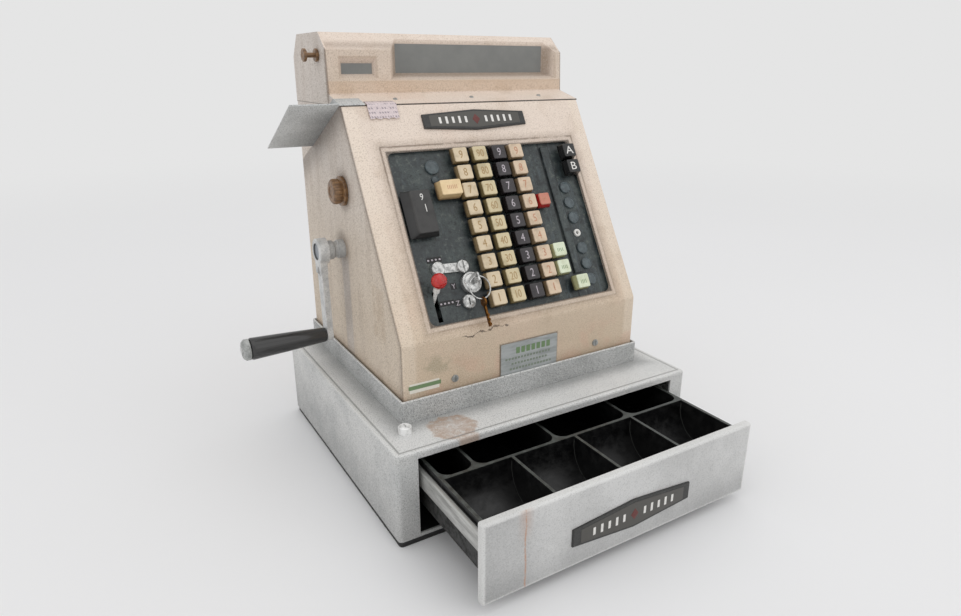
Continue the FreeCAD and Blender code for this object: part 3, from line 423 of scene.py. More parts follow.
# ------------------------------------------------------------------ shader building
def linear(colour: Colour, alpha: float = 1.0) -> tuple[float, float, float, float]:
    """8-bit sRGB to linear light."""
    c = np.array(colour, float) / 255
    value = np.where(c <= 0.04045, c / 12.92, ((c + 0.055) / 1.055) ** 2.4)
    return (*value.tolist(), alpha)


Socket = bpy.types.NodeSocket
Value = bpy.types.NodeSocket | float | tuple


class Graph:
    """One material's nodes, written as arithmetic on millimetre object coordinates."""

    def __init__(self, name: str) -> None:
        """Start an empty material with a Principled shader.

        Args:
            name: the material's name.
        """
        self.material = bpy.data.materials.new(name)
        self.material.use_nodes = True
        self.tree = self.material.node_tree
        self.tree.nodes.clear()
        self.output = self.tree.nodes.new("ShaderNodeOutputMaterial")
        self.shader = self.tree.nodes.new("ShaderNodeBsdfPrincipled")
        self.tree.links.new(self.shader.outputs[0], self.output.inputs[0])
        where = self.tree.nodes.new("ShaderNodeTexCoord").outputs["Object"]
        self.place = self.add("ShaderNodeVectorMath", {0: where, "Scale": 1 / MM},
                              operation="SCALE").outputs[0]
        parts = self.add("ShaderNodeSeparateXYZ", {0: self.place})
        self.x, self.y, self.z = parts.outputs

    def add(self, kind: str, inputs: dict, **settings: object) -> bpy.types.Node:
        """Add a node.

        Args:
            kind: Blender's node type.
            inputs: input index or name to a socket or a constant.
            settings: properties to set on the node.

        Returns:
            The node.
        """
        node = self.tree.nodes.new(kind)
        for key, value in settings.items():
            setattr(node, key, value)
        for key, value in inputs.items():
            if isinstance(value, bpy.types.NodeSocket):
                self.tree.links.new(value, node.inputs[key])
            else:
                node.inputs[key].default_value = value
        return node

    def math(self, operation: str, *values: Value, clamp: bool = False) -> Socket:
        """One arithmetic step on up to three values."""
        inputs = dict(enumerate(values))
        return self.add("ShaderNodeMath", inputs, operation=operation, use_clamp=clamp).outputs[0]

    def total(self, *values: Value) -> Socket:
        """Sum of several values."""
        result = values[0]
        for value in values[1:]:
            result = self.math("ADD", result, value)
        return result

    def product(self, *values: Value) -> Socket:
        """Product of several values."""
        result = values[0]
        for value in values[1:]:
            result = self.math("MULTIPLY", result, value)
        return result

    def rise(self, value: Value, low: float, high: float) -> Socket:
        """Smooth step from 0 at low to 1 at high; low may be the larger."""
        return self.add("ShaderNodeMapRange",
                        {"Value": value, "From Min": low, "From Max": high},
                        interpolation_type="SMOOTHSTEP", clamp=True).outputs[0]

    def within(self, value: Value, low: float, high: float, soft: float) -> Socket:
        """1 between two values, falling to 0 over a soft edge outside them."""
        return self.product(self.rise(value, low - soft, low), self.rise(value, high + soft, high))

    def beyond(self, value: Value, middle: float, half: float) -> Socket:
        """How far a value lies outside middle ± half; below 0 inside."""
        out = self.math("ABSOLUTE", self.math("SUBTRACT", value, middle))
        return self.math("SUBTRACT", out, half)

    def noise(self, size: float, detail: float = 3.0, rough: float = 0.55,
              stretch: tuple[float, float, float] = (1, 1, 1), seed: float = 0.0) -> Socket:
        """Cloudy noise about 0.5 whose features are about `size` millimetres across."""
        moved = self.add("ShaderNodeMapping", {
            "Vector": self.place, "Location": (seed * 37.0, seed * 11.0, seed * 23.0),
            "Scale": tuple(1 / (size * s) for s in stretch)}).outputs[0]
        return self.add("ShaderNodeTexNoise", {"Vector": moved, "Scale": 1.0, "Detail": detail,
                                               "Roughness": rough}).outputs["Fac"]

    def waver(self, reach: float, size: float, detail: float, seed: float,
              rough: float = 0.55, stretch: tuple[float, float, float] = (1, 1, 1)) -> Socket:
        """Noise about 0, for edges that wander over `reach` millimetres."""
        cloud = self.noise(size, detail, rough, stretch, seed)
        return self.product(self.math("SUBTRACT", cloud, 0.5), reach)

    def stipple(self, seed: float = 0.0) -> Socket:
        """Fine spray-like grain about 0.5, a little over a millimetre across."""
        return self.noise(1.15, 1, 0.5, seed=seed)

    def blend(self, factor: Value, a: Value, b: Value) -> Socket:
        """Mix two colours; tuples are 8-bit sRGB."""
        node = self.add("ShaderNodeMix", {}, data_type="RGBA")
        for index, value in ((0, factor), (6, a), (7, b)):
            if isinstance(value, bpy.types.NodeSocket):
                self.tree.links.new(value, node.inputs[index])
            elif index == 0:
                node.inputs[index].default_value = value
            else:
                node.inputs[index].default_value = linear(value)
        return node.outputs[2]

    def distance(self, centre: tuple[float, float, float],
                 squash: tuple[float, float, float] = (1, 1, 1)) -> Socket:
        """Distance from a point, each axis divided by a factor first."""
        parts = []
        for coordinate, middle, factor in zip((self.x, self.y, self.z), centre, squash):
            if factor:
                step = self.math("DIVIDE", self.math("SUBTRACT", coordinate, middle), factor)
                parts.append(self.math("POWER", step, 2.0))
        return self.math("SQRT", self.total(*parts))

    def slope_axes(self) -> tuple[Socket, Socket]:
        """Coordinates v and w of the keyboard face."""
        dy = self.math("SUBTRACT", self.y, SLOPE.foot_y)
        dz = self.math("SUBTRACT", self.z, SLOPE.foot_z)
        pair = []
        for axis in (SLOPE.climb, SLOPE.normal):
            pair.append(self.math("ADD", self.math("MULTIPLY", dy, float(axis[1])),
                                  self.math("MULTIPLY", dz, float(axis[2]))))
        return pair[0], pair[1]

    def bump(self, height: Socket, depth: float) -> None:
        """Relief of a depth in millimetres."""
        node = self.add("ShaderNodeBump", {"Height": height, "Distance": depth * MM,
                                           "Strength": 1.0})
        self.tree.links.new(node.outputs[0], self.shader.inputs["Normal"])

    def set(self, **constants: float) -> None:
        """Constants on the shader; underscores in names stand for spaces."""
        for key, value in constants.items():
            self.shader.inputs[key.replace("_", " ")].default_value = value

    def done(self, colour: Value, roughness: Value) -> bpy.types.Material:
        """Connect colour and roughness, and return the material."""
        for key, value in (("Base Color", colour), ("Roughness", roughness)):
            if isinstance(value, bpy.types.NodeSocket):
                self.tree.links.new(value, self.shader.inputs[key])
            else:
                self.shader.inputs[key].default_value = linear(value) if key[0] == "B" else value
        return self.material


# ------------------------------------------------------------------ finishes
@dataclass(frozen=True)
class GreyEnamel:
    """Speckled grey enamel with grime, painted highlights along its edges and painted shade where
    asked for.
    """
    name: str
    base: Colour
    dark: Colour
    speckle: float = 0.5
    roughness: float = 0.48
    stained: bool = False
    streaked: bool = False
    lined: bool = False
    edge_top: float = 0.0
    painted_shade_to: float = 0.0
    cabinet_half: tuple[float, float] = (195.0, 175.0)
    cabinet_top: float = 106.0
    collar_half: tuple[float, float] = (162.5, 146.5)
    collar_middle_y: float = 26.0
    stain: tuple[float, float] = (-118.0, -150.0)
    front_half: tuple[float, float] = (170.3, 42.6)
    front_middle_z: float = 54.6
    front_y: float = -295.0
    streak_x: float = -125.5

    def material(self) -> bpy.types.Material:
        """Build the enamel; rust, a dark line, painted highlights along edges, and painted shade and
        light are added where asked for.
        """
        g = Graph(self.name)
        cloud = g.noise(55, 4)
        colour = g.blend(g.rise(cloud, 0.35, 0.7), self.base, self.dark)
        # The cabinet's line comes with its painted shade and painted light.
        if self.lined:
            colour = self._cabinet_shade(g, colour)
        # The drawer's streak comes with its painted shade and painted highlight.
        if self.streaked:
            colour = self._drawer_shade(g, colour)
        if self.edge_top:
            # Painted highlight along the top edge.
            worn = g.product(g.rise(g.z, self.edge_top - 1.6, self.edge_top - 0.6), 0.7)
            colour = g.blend(worn, colour, (226, 226, 224))
        if self.painted_shade_to:
            # Painted shade on the sheet towards the case.
            near = g.product(g.rise(g.x, self.painted_shade_to - 48.0, self.painted_shade_to),
                             g.rise(g.y, 16.0, 60.0), 0.6)
            colour = g.blend(near, colour, (96, 96, 95))
        grain = g.stipple()
        colour = g.blend(g.product(g.rise(grain, 0.52, 0.7), self.speckle), colour,
                         tuple(c * 0.55 for c in self.dark))
        colour = g.blend(g.product(g.rise(grain, 0.46, 0.3), self.speckle * 0.5), colour,
                         (240, 240, 238))
        if self.stained:
            colour = self._stain(g, colour)
        if self.streaked:
            colour = self._streak(g, colour)
        height = grain
        if self.lined:
            half_x, half_y = self.cabinet_half
            inset = g.math("MAXIMUM", g.beyond(g.x, 0.0, half_x), g.beyond(g.y, 0.0, half_y))
            line = g.product(g.within(inset, -7.2, -5.9, 0.8),
                             g.rise(g.z, self.cabinet_top - 1.5, self.cabinet_top - 0.5))
            colour = g.blend(g.product(line, 0.55), colour, (110, 110, 108))
            height = g.math("SUBTRACT", grain, g.product(line, 6.0))
        g.bump(height, 0.06)
        return g.done(colour, g.total(self.roughness, g.product(g.rise(cloud, 0.3, 0.7), 0.14)))

    def _cabinet_shade(self, g: Graph, colour: Socket) -> Socket:
        """Painted shade on the top beside the collar, painted light on the top away from it, and
        painted shade at the foot of the sides.
        """
        half_x, half_y = self.collar_half
        top = self.cabinet_top
        beside = g.math("MAXIMUM", g.beyond(g.x, 0.0, half_x),
                        g.beyond(g.y, self.collar_middle_y, half_y))
        # Painted shade on the top beside the collar.
        near = g.product(g.rise(beside, 30.0, 0.0), g.rise(g.z, top - 2.0, top - 0.5), 0.42)
        colour = g.blend(near, colour, (112, 112, 111))
        # Painted light on the top away from the collar.
        lit = g.product(g.rise(g.z, top - 1.0, top - 0.2), g.rise(beside, 4.0, 26.0), 0.5)
        colour = g.blend(lit, colour, (236, 236, 235))
        # Painted shade at the foot of the sides.
        foot = g.product(g.rise(g.z, 100.0, 8.0), 0.4)
        return g.blend(foot, colour, (112, 112, 111))

    def _drawer_shade(self, g: Graph, colour: Socket) -> Socket:
        """Painted shade towards the drawer front's foot and left end, inside a painted highlight along
        its rim.
        """
        half_x, half_z = self.front_half
        # Painted shade towards the foot and the left end.
        foot = g.product(g.rise(g.z, 48.0, 14.0), 0.34)
        colour = g.blend(foot, colour, (124, 124, 124))
        end = g.product(g.rise(g.x, -90.0, -166.0), 0.35)
        colour = g.blend(end, colour, (118, 118, 118))
        outline = g.math("MAXIMUM", g.beyond(g.x, 0.0, half_x),
                         g.beyond(g.z, self.front_middle_z, half_z))
        # Painted highlight along the rim.
        rim = g.product(g.rise(outline, -4.2, -1.6), 0.6)
        return g.blend(rim, colour, (232, 232, 230))

    def _stain(self, g: Graph, colour: Socket) -> Socket:
        """Rust-brown stain on the cabinet's top, darkest at its rim, run over the front edge."""
        wobble = g.waver(0.9, 9, 3, seed=2)
        reach = g.total(g.distance((*self.stain, 0), (24.0, 22.0, 0)), wobble)
        inside = g.rise(reach, 1.05, 0.9)
        rim = g.within(reach, 0.72, 0.98, 0.22)
        patch = g.math("MAXIMUM", g.product(inside, 0.5), g.product(rim, 0.62))
        mottled = g.product(patch, g.rise(g.noise(7, 4, 0.7, seed=5), 0.2, 0.62))
        stain_x, edge_y = self.stain[0], -self.cabinet_half[1]
        drip = g.product(g.within(g.x, stain_x - 4.0, stain_x + 14.0, 5.0),
                         g.rise(g.y, edge_y + 5.0, edge_y), g.rise(g.z, 60.0, 104.0), 0.5)
        only_top = g.product(g.math("MAXIMUM", mottled, drip), g.rise(g.z, 90.0, 99.0))
        return g.blend(only_top, colour, (166, 126, 90))

    def _streak(self, g: Graph, colour: Socket) -> Socket:
        """Thin rust run down the drawer's front and a soft dirty shade by it."""
        wander = g.waver(3.0, 16, 2, seed=3)
        across = g.math("ABSOLUTE", g.total(g.x, -self.streak_x, wander))
        fade = g.product(g.rise(across, 1.5, 0.4), g.rise(g.noise(5, 3, seed=8), 0.2, 0.62))
        halo = g.product(g.rise(across, 11.0, 0.0), g.rise(g.z, 55.0, 92.0), 0.3)
        front = g.rise(g.y, self.front_y + 2.0, self.front_y + 0.4)
        return g.blend(g.product(front, g.math("MAXIMUM", g.product(fade, 0.75), halo)), colour,
                       (186, 138, 108))


@dataclass(frozen=True)
class CreamEnamel:
    """Aged cream enamel of the machine case: cream above, tan below, greyer on the sides."""
    name: str
    light: Colour = (232, 216, 202)
    tan: Colour = (208, 188, 163)
    side_high: Colour = (208, 199, 191)
    side_low: Colour = (206, 191, 172)
    shade: Colour = (128, 108, 90)
    half_width: float = 158.0
    panel: Rect = (-120.0, 125.0, 14.5, 209.0)
    knob: tuple[float, float] = (25.0, 330.0)
    crank: tuple[float, float] = (40.0, 261.0)
    plate_half: tuple[float, float] = (38.8, 19.5)
    plate_z: float = 149.0
    crack_x: tuple[float, float] = (-86.0, -30.0)
    crack_z: float = 194.0
    crack_climb: float = 0.07
    head_foot: float = 421.5
    head: bool = False

    def material(self) -> bpy.types.Material:
        """Build the enamel for the case or for the head."""
        g = Graph(self.name)
        height_share = g.rise(g.z, 395.0, 130.0)
        colour = g.blend(height_share, self.light, self.tan)
        blotch = g.noise(38, 4, seed=1)
        colour = g.blend(g.product(g.rise(blotch, 0.48, 0.72), 0.34), colour, (188, 166, 142))
        colour = g.blend(g.product(g.rise(g.noise(70, 3, seed=7), 0.5, 0.7), 0.22), colour,
                         (226, 196, 176))
        wide = g.math("ABSOLUTE", g.x)
        side = g.rise(wide, self.half_width - 0.9, self.half_width - 0.3)
        flank = g.blend(g.rise(g.z, 420.0, 170.0), self.side_high, self.side_low)
        runs = g.noise(16, 3, stretch=(1, 1, 9), seed=4)
        flank = g.blend(g.product(g.rise(runs, 0.45, 0.7), 0.3), flank, (168, 152, 136))
        colour = g.blend(side, colour, flank)
        colour = self._head_marks(g, colour) if self.head else self._case_marks(g, colour, side)
        grain = g.stipple()
        colour = g.blend(g.product(g.rise(grain, 0.5, 0.72), g.total(0.34, g.product(side, 0.22))),
                         colour, self.shade)
        colour = g.blend(g.product(g.rise(grain, 0.47, 0.3), 0.2), colour, (248, 240, 230))
        chip = g.product(g.rise(g.noise(3.2, 4, 0.7, seed=9), 0.71, 0.74), 0.55)
        colour = g.blend(chip, colour, (120, 104, 88))
        g.bump(g.total(grain, g.product(blotch, 2.0)), 0.07)
        return g.done(colour, g.total(0.46, g.product(g.rise(blotch, 0.3, 0.7), 0.16)))

    def _case_marks(self, g: Graph, colour: Socket, side: Socket) -> Socket:
        """Painted shade round the keyboard with a painted highlight on its rim, the seam on the sides
        with painted shade beside it, a painted highlight along the front's side edges, grime round the
        shafts, and a painted shadow under the receipt shelf.
        """
        v, w = g.slope_axes()
        u0, u1, v0, v1 = self.panel
        reach = g.math("MAXIMUM", g.beyond(g.x, (u0 + u1) / 2, (u1 - u0) / 2),
                       g.beyond(v, (v0 + v1) / 2, (v1 - v0) / 2))
        # Painted shade round the keyboard: a soft halo, a dark line in the gap and a broken outline,
        # with a painted highlight on the rim between.
        ragged = g.total(reach, g.waver(7.0, 11, 3, seed=6))
        on_face = g.rise(w, -2.0, -0.5)
        colour = g.blend(g.product(g.rise(ragged, 17.0, 3.0), on_face, 0.42), colour, self.shade)
        colour = g.blend(g.product(g.within(reach, 2.2, 5.2, 1.2), on_face, 0.35), colour,
                         self.light)
        colour = g.blend(g.product(g.rise(reach, 2.2, 0.4), on_face, 0.8), colour, (58, 49, 42))
        wavy = g.total(reach, g.waver(1.6, 7, 2, seed=16))
        broken = g.rise(g.noise(15, 3, seed=17), 0.3, 0.55)
        outline = g.product(g.within(wavy, 5.9, 6.7, 1.3), on_face, broken,
                            g.total(0.25, g.product(g.rise(v, 120.0, 200.0), 0.4)))
        colour = g.blend(outline, colour, (104, 86, 70))
        # Painted highlight along the front's side edges.
        edge = g.product(g.within(g.math("ABSOLUTE", g.x), 145.0, 156.0, 5.0),
                         g.math("SUBTRACT", 1.0, side))
        colour = g.blend(g.product(edge, 0.35), colour, (242, 228, 210))
        inset = g.math("MINIMUM", g.math("MULTIPLY", w, -1.0),
                       g.math("SUBTRACT", g.y, SLOPE.foot_y))
        seam = g.product(g.within(inset, 2.7, 3.5, 0.5), side)
        colour = g.blend(g.product(seam, 0.8), colour, (60, 50, 42))
        # Painted shade on the sides beside the seam.
        near = g.product(g.rise(inset, 12.0, 3.5), side, 0.4)
        colour = g.blend(near, colour, (140, 122, 106))
        left = g.product(side, g.rise(g.x, 0.0, -1.0))
        for (y, z), size in ((self.knob, 30.0), (self.crank, 27.0)):
            grime = g.product(g.rise(g.distance((0, y, z), (0, 1, 1)), size, size * 0.45), left)
            colour = g.blend(g.product(grime, 0.6), colour, (112, 96, 82))
        drip = g.product(g.within(g.y, 28.0, 40.0, 9.0), g.rise(g.z, 150.0, 185.0),
                         g.rise(g.z, 256.0, 236.0), left, 0.4)
        colour = g.blend(drip, colour, (150, 128, 104))
        band = g.product(g.within(g.y, 26.0, 44.0, 5.0), g.rise(g.z, 262.0, 240.0), left, 0.42)
        colour = g.blend(band, colour, (176, 174, 176))
        patch = g.product(g.within(g.y, -74.0, -46.0, 3.0), g.within(g.z, 184.0, 238.0, 4.0), left,
                          g.rise(g.noise(9, 3, seed=19), 0.35, 0.55), 0.4)
        colour = g.blend(patch, colour, (178, 156, 130))
        # Painted shadow under the receipt shelf; it runs on past the shelf's rear end.
        below = g.total(432.2, g.product(g.y, -0.499), g.product(g.z, -1.0))
        shade = g.product(g.rise(below, 40.0, 2.0), g.rise(below, -2.0, 1.0), left, 0.6)
        colour = g.blend(shade, colour, (92, 82, 76))
        return self._front_marks(g, colour)

    def _front_marks(self, g: Graph, colour: Socket) -> Socket:
        """Crack under the keyboard, green-grey smear, painted shade round the info plate, and darker
        towards the foot of the case.
        """
        front = g.rise(g.y, -104.0, -110.0)
        run = g.waver(14.0, 13, 4, seed=12, rough=0.65, stretch=(1, 40, 40))
        line = g.total(g.z, -self.crack_z, g.product(g.x, -self.crack_climb), run)
        width = g.rise(g.noise(5, 2, stretch=(1, 40, 40), seed=14), 0.3, 0.75)
        crack = g.product(g.math("LESS_THAN", g.math("ABSOLUTE", line),
                                 g.total(0.15, g.product(width, 1.2))),
                          g.within(g.x, *self.crack_x, 3.0), front)
        colour = g.blend(g.product(crack, 0.85), colour, (62, 50, 38))
        rub = g.product(g.rise(g.distance((-52, 0, 196), (34, 0, 9)), 1.1, 0.2), front, 0.35)
        colour = g.blend(rub, colour, (150, 124, 98))
        smear = g.product(g.rise(g.distance((-118, 0, 164), (34, 0, 13)), 1.15, 0.35), front,
                          g.rise(g.noise(12, 3, stretch=(2, 1, 1), seed=15), 0.42, 0.6), 0.45)
        colour = g.blend(smear, colour, (148, 142, 116))
        pink = g.product(g.rise(g.noise(30, 2, seed=21), 0.5, 0.66), front, g.rise(g.z, 185, 150))
        colour = g.blend(g.product(pink, 0.3), colour, (214, 168, 146))
        half_x, half_z = self.plate_half
        beside = g.math("MAXIMUM", g.beyond(g.x, 0.0, half_x),
                        g.beyond(g.z, self.plate_z, half_z))
        # Painted shade round the raised info plate.
        colour = g.blend(g.product(g.rise(beside, 2.4, 0.3), front, 0.7), colour, (84, 72, 60))
        # Darker towards the foot.
        foot = g.product(g.rise(g.z, 148.0, 132.0), 0.35)
        return g.blend(foot, colour, (150, 128, 104))

    def _head_marks(self, g: Graph, colour: Socket) -> Socket:
        """Darker band under the windows, painted shade in the window recesses and the black joint
        below the lip.
        """
        before = g.rise(g.y, 56.0, 54.0)
        face = g.product(g.rise(g.z, 440.0, 447.0), g.rise(g.z, 489.0, 484.0), before, 0.5)
        colour = g.blend(face, colour, (196, 178, 158))
        band = g.product(g.within(g.z, 433.0, 444.0, 2.0), before, g.rise(g.y, 46.0, 49.0))
        colour = g.blend(g.product(band, 0.55), colour, (196, 166, 134))
        # Painted shade in the window recesses.
        deep = g.product(g.rise(g.y, 51.0, 64.0), g.rise(g.y, 74.5, 71.0), g.rise(g.z, 489, 480))
        inner = g.rise(g.math("ABSOLUTE", g.x), 156.5, 155.5)
        colour = g.blend(g.product(deep, inner, 0.72), colour, (132, 112, 94))
        joint = g.product(g.rise(g.z, self.head_foot + 0.2, self.head_foot - 0.2),
                          g.rise(g.y, 18.0, 16.5))
        colour = g.blend(g.product(joint, 0.95), colour, (24, 20, 18))
        sides = g.product(g.rise(g.z, self.head_foot - 0.3, self.head_foot - 1.0), 0.7)
        colour = g.blend(sides, colour, (70, 62, 56))
        edge = g.product(g.within(g.math("ABSOLUTE", g.x), 157.2, 159.0, 0.4),
                         g.rise(g.distance((0, 53, 455), (0, 4.0, 40)), 1.2, 0.9), 0.7)
        return g.blend(edge, colour, (120, 104, 92))


@dataclass(frozen=True)
class PanelEnamel:
    """Worn dark blue-green enamel of the keyboard tray, brushed and scuffed."""
    name: str = "panel_enamel_worn"

    def material(self) -> bpy.types.Material:
        """Dark ground, lighter scuffs that run up the slope, and light and dark swirls."""
        g = Graph(self.name)
        cloud = g.noise(26, 5, 0.65, seed=2)
        colour = g.blend(g.rise(cloud, 0.38, 0.66), (38, 46, 48), (64, 73, 72))
        streak = g.noise(3.2, 4, 0.7, stretch=(1, 9, 9), seed=4)
        on_right = g.rise(g.x, 40.0, 62.0)
        colour = g.blend(g.product(g.rise(streak, 0.5, 0.68), g.total(0.2, g.product(on_right, 0.3))),
                         colour, (80, 92, 98))
        swirl = g.noise(7, 5, 0.75, seed=6)
        colour = g.blend(g.product(g.rise(swirl, 0.54, 0.68), 0.6), colour, (104, 111, 104))
        colour = g.blend(g.product(g.rise(swirl, 0.48, 0.36), 0.75), colour, (14, 18, 19))
        lines = g.math("MAXIMUM", g.within(g.x, 79.6, 81.4, 0.8), g.within(g.x, 93.6, 95.2, 0.8))
        colour = g.blend(g.product(lines, 0.8), colour, (16, 20, 22))
        grain = g.stipple(3)
        colour = g.blend(g.product(g.rise(grain, 0.5, 0.7), 0.45), colour, (16, 20, 22))
        g.bump(g.total(g.product(swirl, 2.0), streak), 0.08)
        g.set(Coat_Weight=0.25, Coat_Roughness=0.3)
        return g.done(colour, g.total(0.34, g.product(g.rise(cloud, 0.3, 0.7), 0.2)))


@dataclass(frozen=True)
class KeyPlastic:
    """Moulded key plastic: clean on the worn face, with painted shade down the flanks."""
    name: str
    face: Colour
    flank: Colour
    foot_shade_and_scratch: Colour
    low: float = 1.0
    high: float = 9.0
    roughness: float = 0.34
    ageing: float = 0.35

    def material(self) -> bpy.types.Material:
        """Colour by height above the slope, with cloudy ageing and small scratches."""
        g = Graph(self.name)
        _, w = g.slope_axes()
        span = self.high - self.low
        # Painted shade by height above the slope: near-black at the foot and darker down the flanks,
        # up to the face's own colour.
        ragged = g.total(w, g.waver(2.2, 2.4, 3, seed=0, rough=0.6))
        colour = g.blend(g.rise(ragged, self.low, self.low + span * 0.6), self.foot_shade_and_scratch, self.flank)
        colour = g.blend(g.rise(ragged, self.high - 1.9, self.high - 0.9), colour, self.face)
        age = g.noise(13, 3, seed=5)
        colour = g.blend(g.product(g.rise(age, 0.45, 0.7), self.ageing), colour, self.flank)
        scratch = g.noise(1.6, 4, 0.75, stretch=(1, 5, 5), seed=3)
        colour = g.blend(g.product(g.rise(scratch, 0.62, 0.72), 0.3), colour, self.foot_shade_and_scratch)
        g.bump(scratch, 0.05)
        g.set(Coat_Weight=0.2, Coat_Roughness=0.25)
        return g.done(colour, g.total(self.roughness, g.product(g.rise(age, 0.4, 0.7), 0.15)))


@dataclass(frozen=True)
class Metal:
    """Bare or plated metal with fine scratches and dull patches."""
    name: str
    bright: Colour
    dull: Colour
    roughness: float = 0.25
    metallic: float = 1.0
    stretch: tuple[float, float, float] = (1, 1, 1)
    scale: float = 6.0

    def material(self) -> bpy.types.Material:
        """Two tones of metal mixed by cloudy wear, with a scratched roughness."""
        g = Graph(self.name)
        wear = g.noise(self.scale, 5, 0.65, self.stretch, seed=1)
        fine = g.noise(self.scale * 0.12, 3, 0.7, self.stretch, seed=2)
        colour = g.blend(g.rise(wear, 0.38, 0.68), self.bright, self.dull)
        colour = g.blend(g.product(g.rise(fine, 0.6, 0.75), 0.35), colour,
                         tuple(c * 0.4 for c in self.dull))
        g.set(Metallic=self.metallic)
        g.bump(fine, 0.02)
        rough = g.total(self.roughness, g.product(g.rise(wear, 0.4, 0.7), 0.2),
                        g.product(g.rise(fine, 0.5, 0.8), 0.1))
        return g.done(colour, rough)


@dataclass(frozen=True)
class CrankPaint:
    """Silver paint of the crank, with painted shade in the hub's recess and in a hollow below it."""
    name: str = "crank_silver_paint"
    axis: tuple[float, float] = (40.0, 261.0)
    hollow: tuple[float, float] = (38.6, 237.5)
    outer_face: float = -187.9
    recess: float = 9.5

    def material(self) -> bpy.types.Material:
        """Pale silver, with blue-grey painted shade in the recess, and dark painted shade in rings and
        in a hollow on the outer face.
        """
        g = Graph(self.name)
        wear = g.noise(12, 4, 0.6, seed=1)
        colour = g.blend(g.rise(wear, 0.38, 0.66), (214, 214, 212), (190, 191, 191))
        outside = g.rise(g.x, self.outer_face, self.outer_face - 0.15)
        (y, z), (hollow_y, hollow_z) = self.axis, self.hollow
        radius = g.distance((0, y, z), (0, 1, 1))
        # Painted shade in the recess and along its edge, and a painted shadow standing for the hollow.
        eye = g.product(g.rise(radius, self.recess, self.recess - 0.4), outside)
        colour = g.blend(g.product(eye, 0.8), colour, (128, 136, 146))
        ring = g.product(g.within(radius, self.recess - 0.9, self.recess, 0.5), outside)
        colour = g.blend(g.product(ring, 0.8), colour, (62, 64, 68))
        pocket = g.product(g.rise(g.distance((0, hollow_y, hollow_z), (0, 4.4, 6.5)), 1.05, 0.8),
                           outside)
        colour = g.blend(g.product(pocket, 0.75), colour, (92, 90, 88))
        boss = g.product(g.rise(g.x, -178.5, -176.0), 0.4)
        colour = g.blend(boss, colour, (136, 136, 134))
        grain = g.stipple()
        colour = g.blend(g.product(g.rise(grain, 0.5, 0.7), 0.4), colour, (120, 120, 120))
        g.set(Metallic=0.2)
        g.bump(grain, 0.03)
        return g.done(colour, g.total(0.38, g.product(g.rise(wear, 0.4, 0.7), 0.15)))


@dataclass(frozen=True)
class Plastic:
    """Plain moulded or turned material with a long grain, for grips, knobs and the insert."""
    name: str
    base: Colour
    tone: Colour
    scuff: Colour
    roughness: float = 0.3
    coat: float = 0.3
    stretch: tuple[float, float, float] = (1, 1, 1)
    scale: float = 5.0
    scuffing: float = 0.3

    def material(self) -> bpy.types.Material:
        """Two tones along the grain and pale scuffs over them."""
        g = Graph(self.name)
        grain = g.noise(self.scale, 5, 0.6, self.stretch, seed=1)
        colour = g.blend(g.rise(grain, 0.36, 0.64), self.base, self.tone)
        rub = g.noise(self.scale * 0.7, 5, 0.75, seed=4)
        colour = g.blend(g.product(g.rise(rub, 0.58, 0.72), self.scuffing), colour, self.scuff)
        g.bump(g.total(grain, g.product(rub, 0.6)), 0.05)
        g.set(Coat_Weight=self.coat, Coat_Roughness=0.2)
        return g.done(colour, g.total(self.roughness, g.product(g.rise(rub, 0.45, 0.7), 0.2)))


@dataclass(frozen=True)
class InsertPlastic:
    """Black moulded plastic of the till insert, lighter grey along its top edges, with a painted
    highlight arc in each cup.
    """
    name: str = "insert_black"
    top: float = 88.0
    cup_middle: float = -243.0
    cup_flat: float = 2.0
    cup_radius: float = 36.0
    cup_centre_z: float = 79.4

    def material(self) -> bpy.types.Material:
        """Near-black with dust in the bottoms, lighter grey near the top faces, and a painted
        highlight arc in each cup.
        """
        g = Graph(self.name)
        dust = g.noise(9, 5, 0.7, seed=1)
        colour = g.blend(g.rise(dust, 0.42, 0.72), (11, 11, 12), (22, 22, 22))
        rim = g.product(g.rise(g.z, self.top - 0.8, self.top - 0.2),
                        g.total(0.35, g.product(g.rise(dust, 0.35, 0.65), 0.5)))
        colour = g.blend(rim, colour, (82, 86, 83))
        # Painted highlight arc where each cup's curved floor meets its walls.
        out = g.beyond(g.y, self.cup_middle, self.cup_flat)
        dy = g.math("MAXIMUM", out, 0.0)
        dz = g.math("MINIMUM", g.math("SUBTRACT", g.z, self.cup_centre_z), 0.0)
        radius = g.math("SQRT", g.total(g.math("POWER", dy, 2.0), g.math("POWER", dz, 2.0)))
        painted_arc_highlight = g.product(g.within(radius, self.cup_radius - 1.5, self.cup_radius - 0.5, 0.35),
                        g.rise(g.z, 86.0, 82.0), 0.75)
        colour = g.blend(painted_arc_highlight, colour, (84, 86, 84))
        fine = g.noise(1.1, 3, 0.75, seed=5)
        colour = g.blend(g.product(g.rise(fine, 0.66, 0.76), 0.4), colour, (88, 86, 80))
        g.bump(fine, 0.03)
        return g.done(colour, g.total(0.3, g.product(g.rise(dust, 0.35, 0.7), 0.25)))


@dataclass(frozen=True)
class DustyGlass:
    """Window glass with a grey film, through which the drums hardly show."""
    name: str = "glass_dusty"

    def material(self) -> bpy.types.Material:
        """Grey film over clear glass."""
        g = Graph(self.name)
        film = g.noise(24, 4, 0.6, seed=1)
        colour = g.blend(g.rise(film, 0.3, 0.7), (122, 123, 121), (130, 131, 128))
        g.set(Alpha=0.985, IOR=1.45)
        return g.done(colour, g.total(0.3, g.product(g.rise(film, 0.3, 0.7), 0.15)))


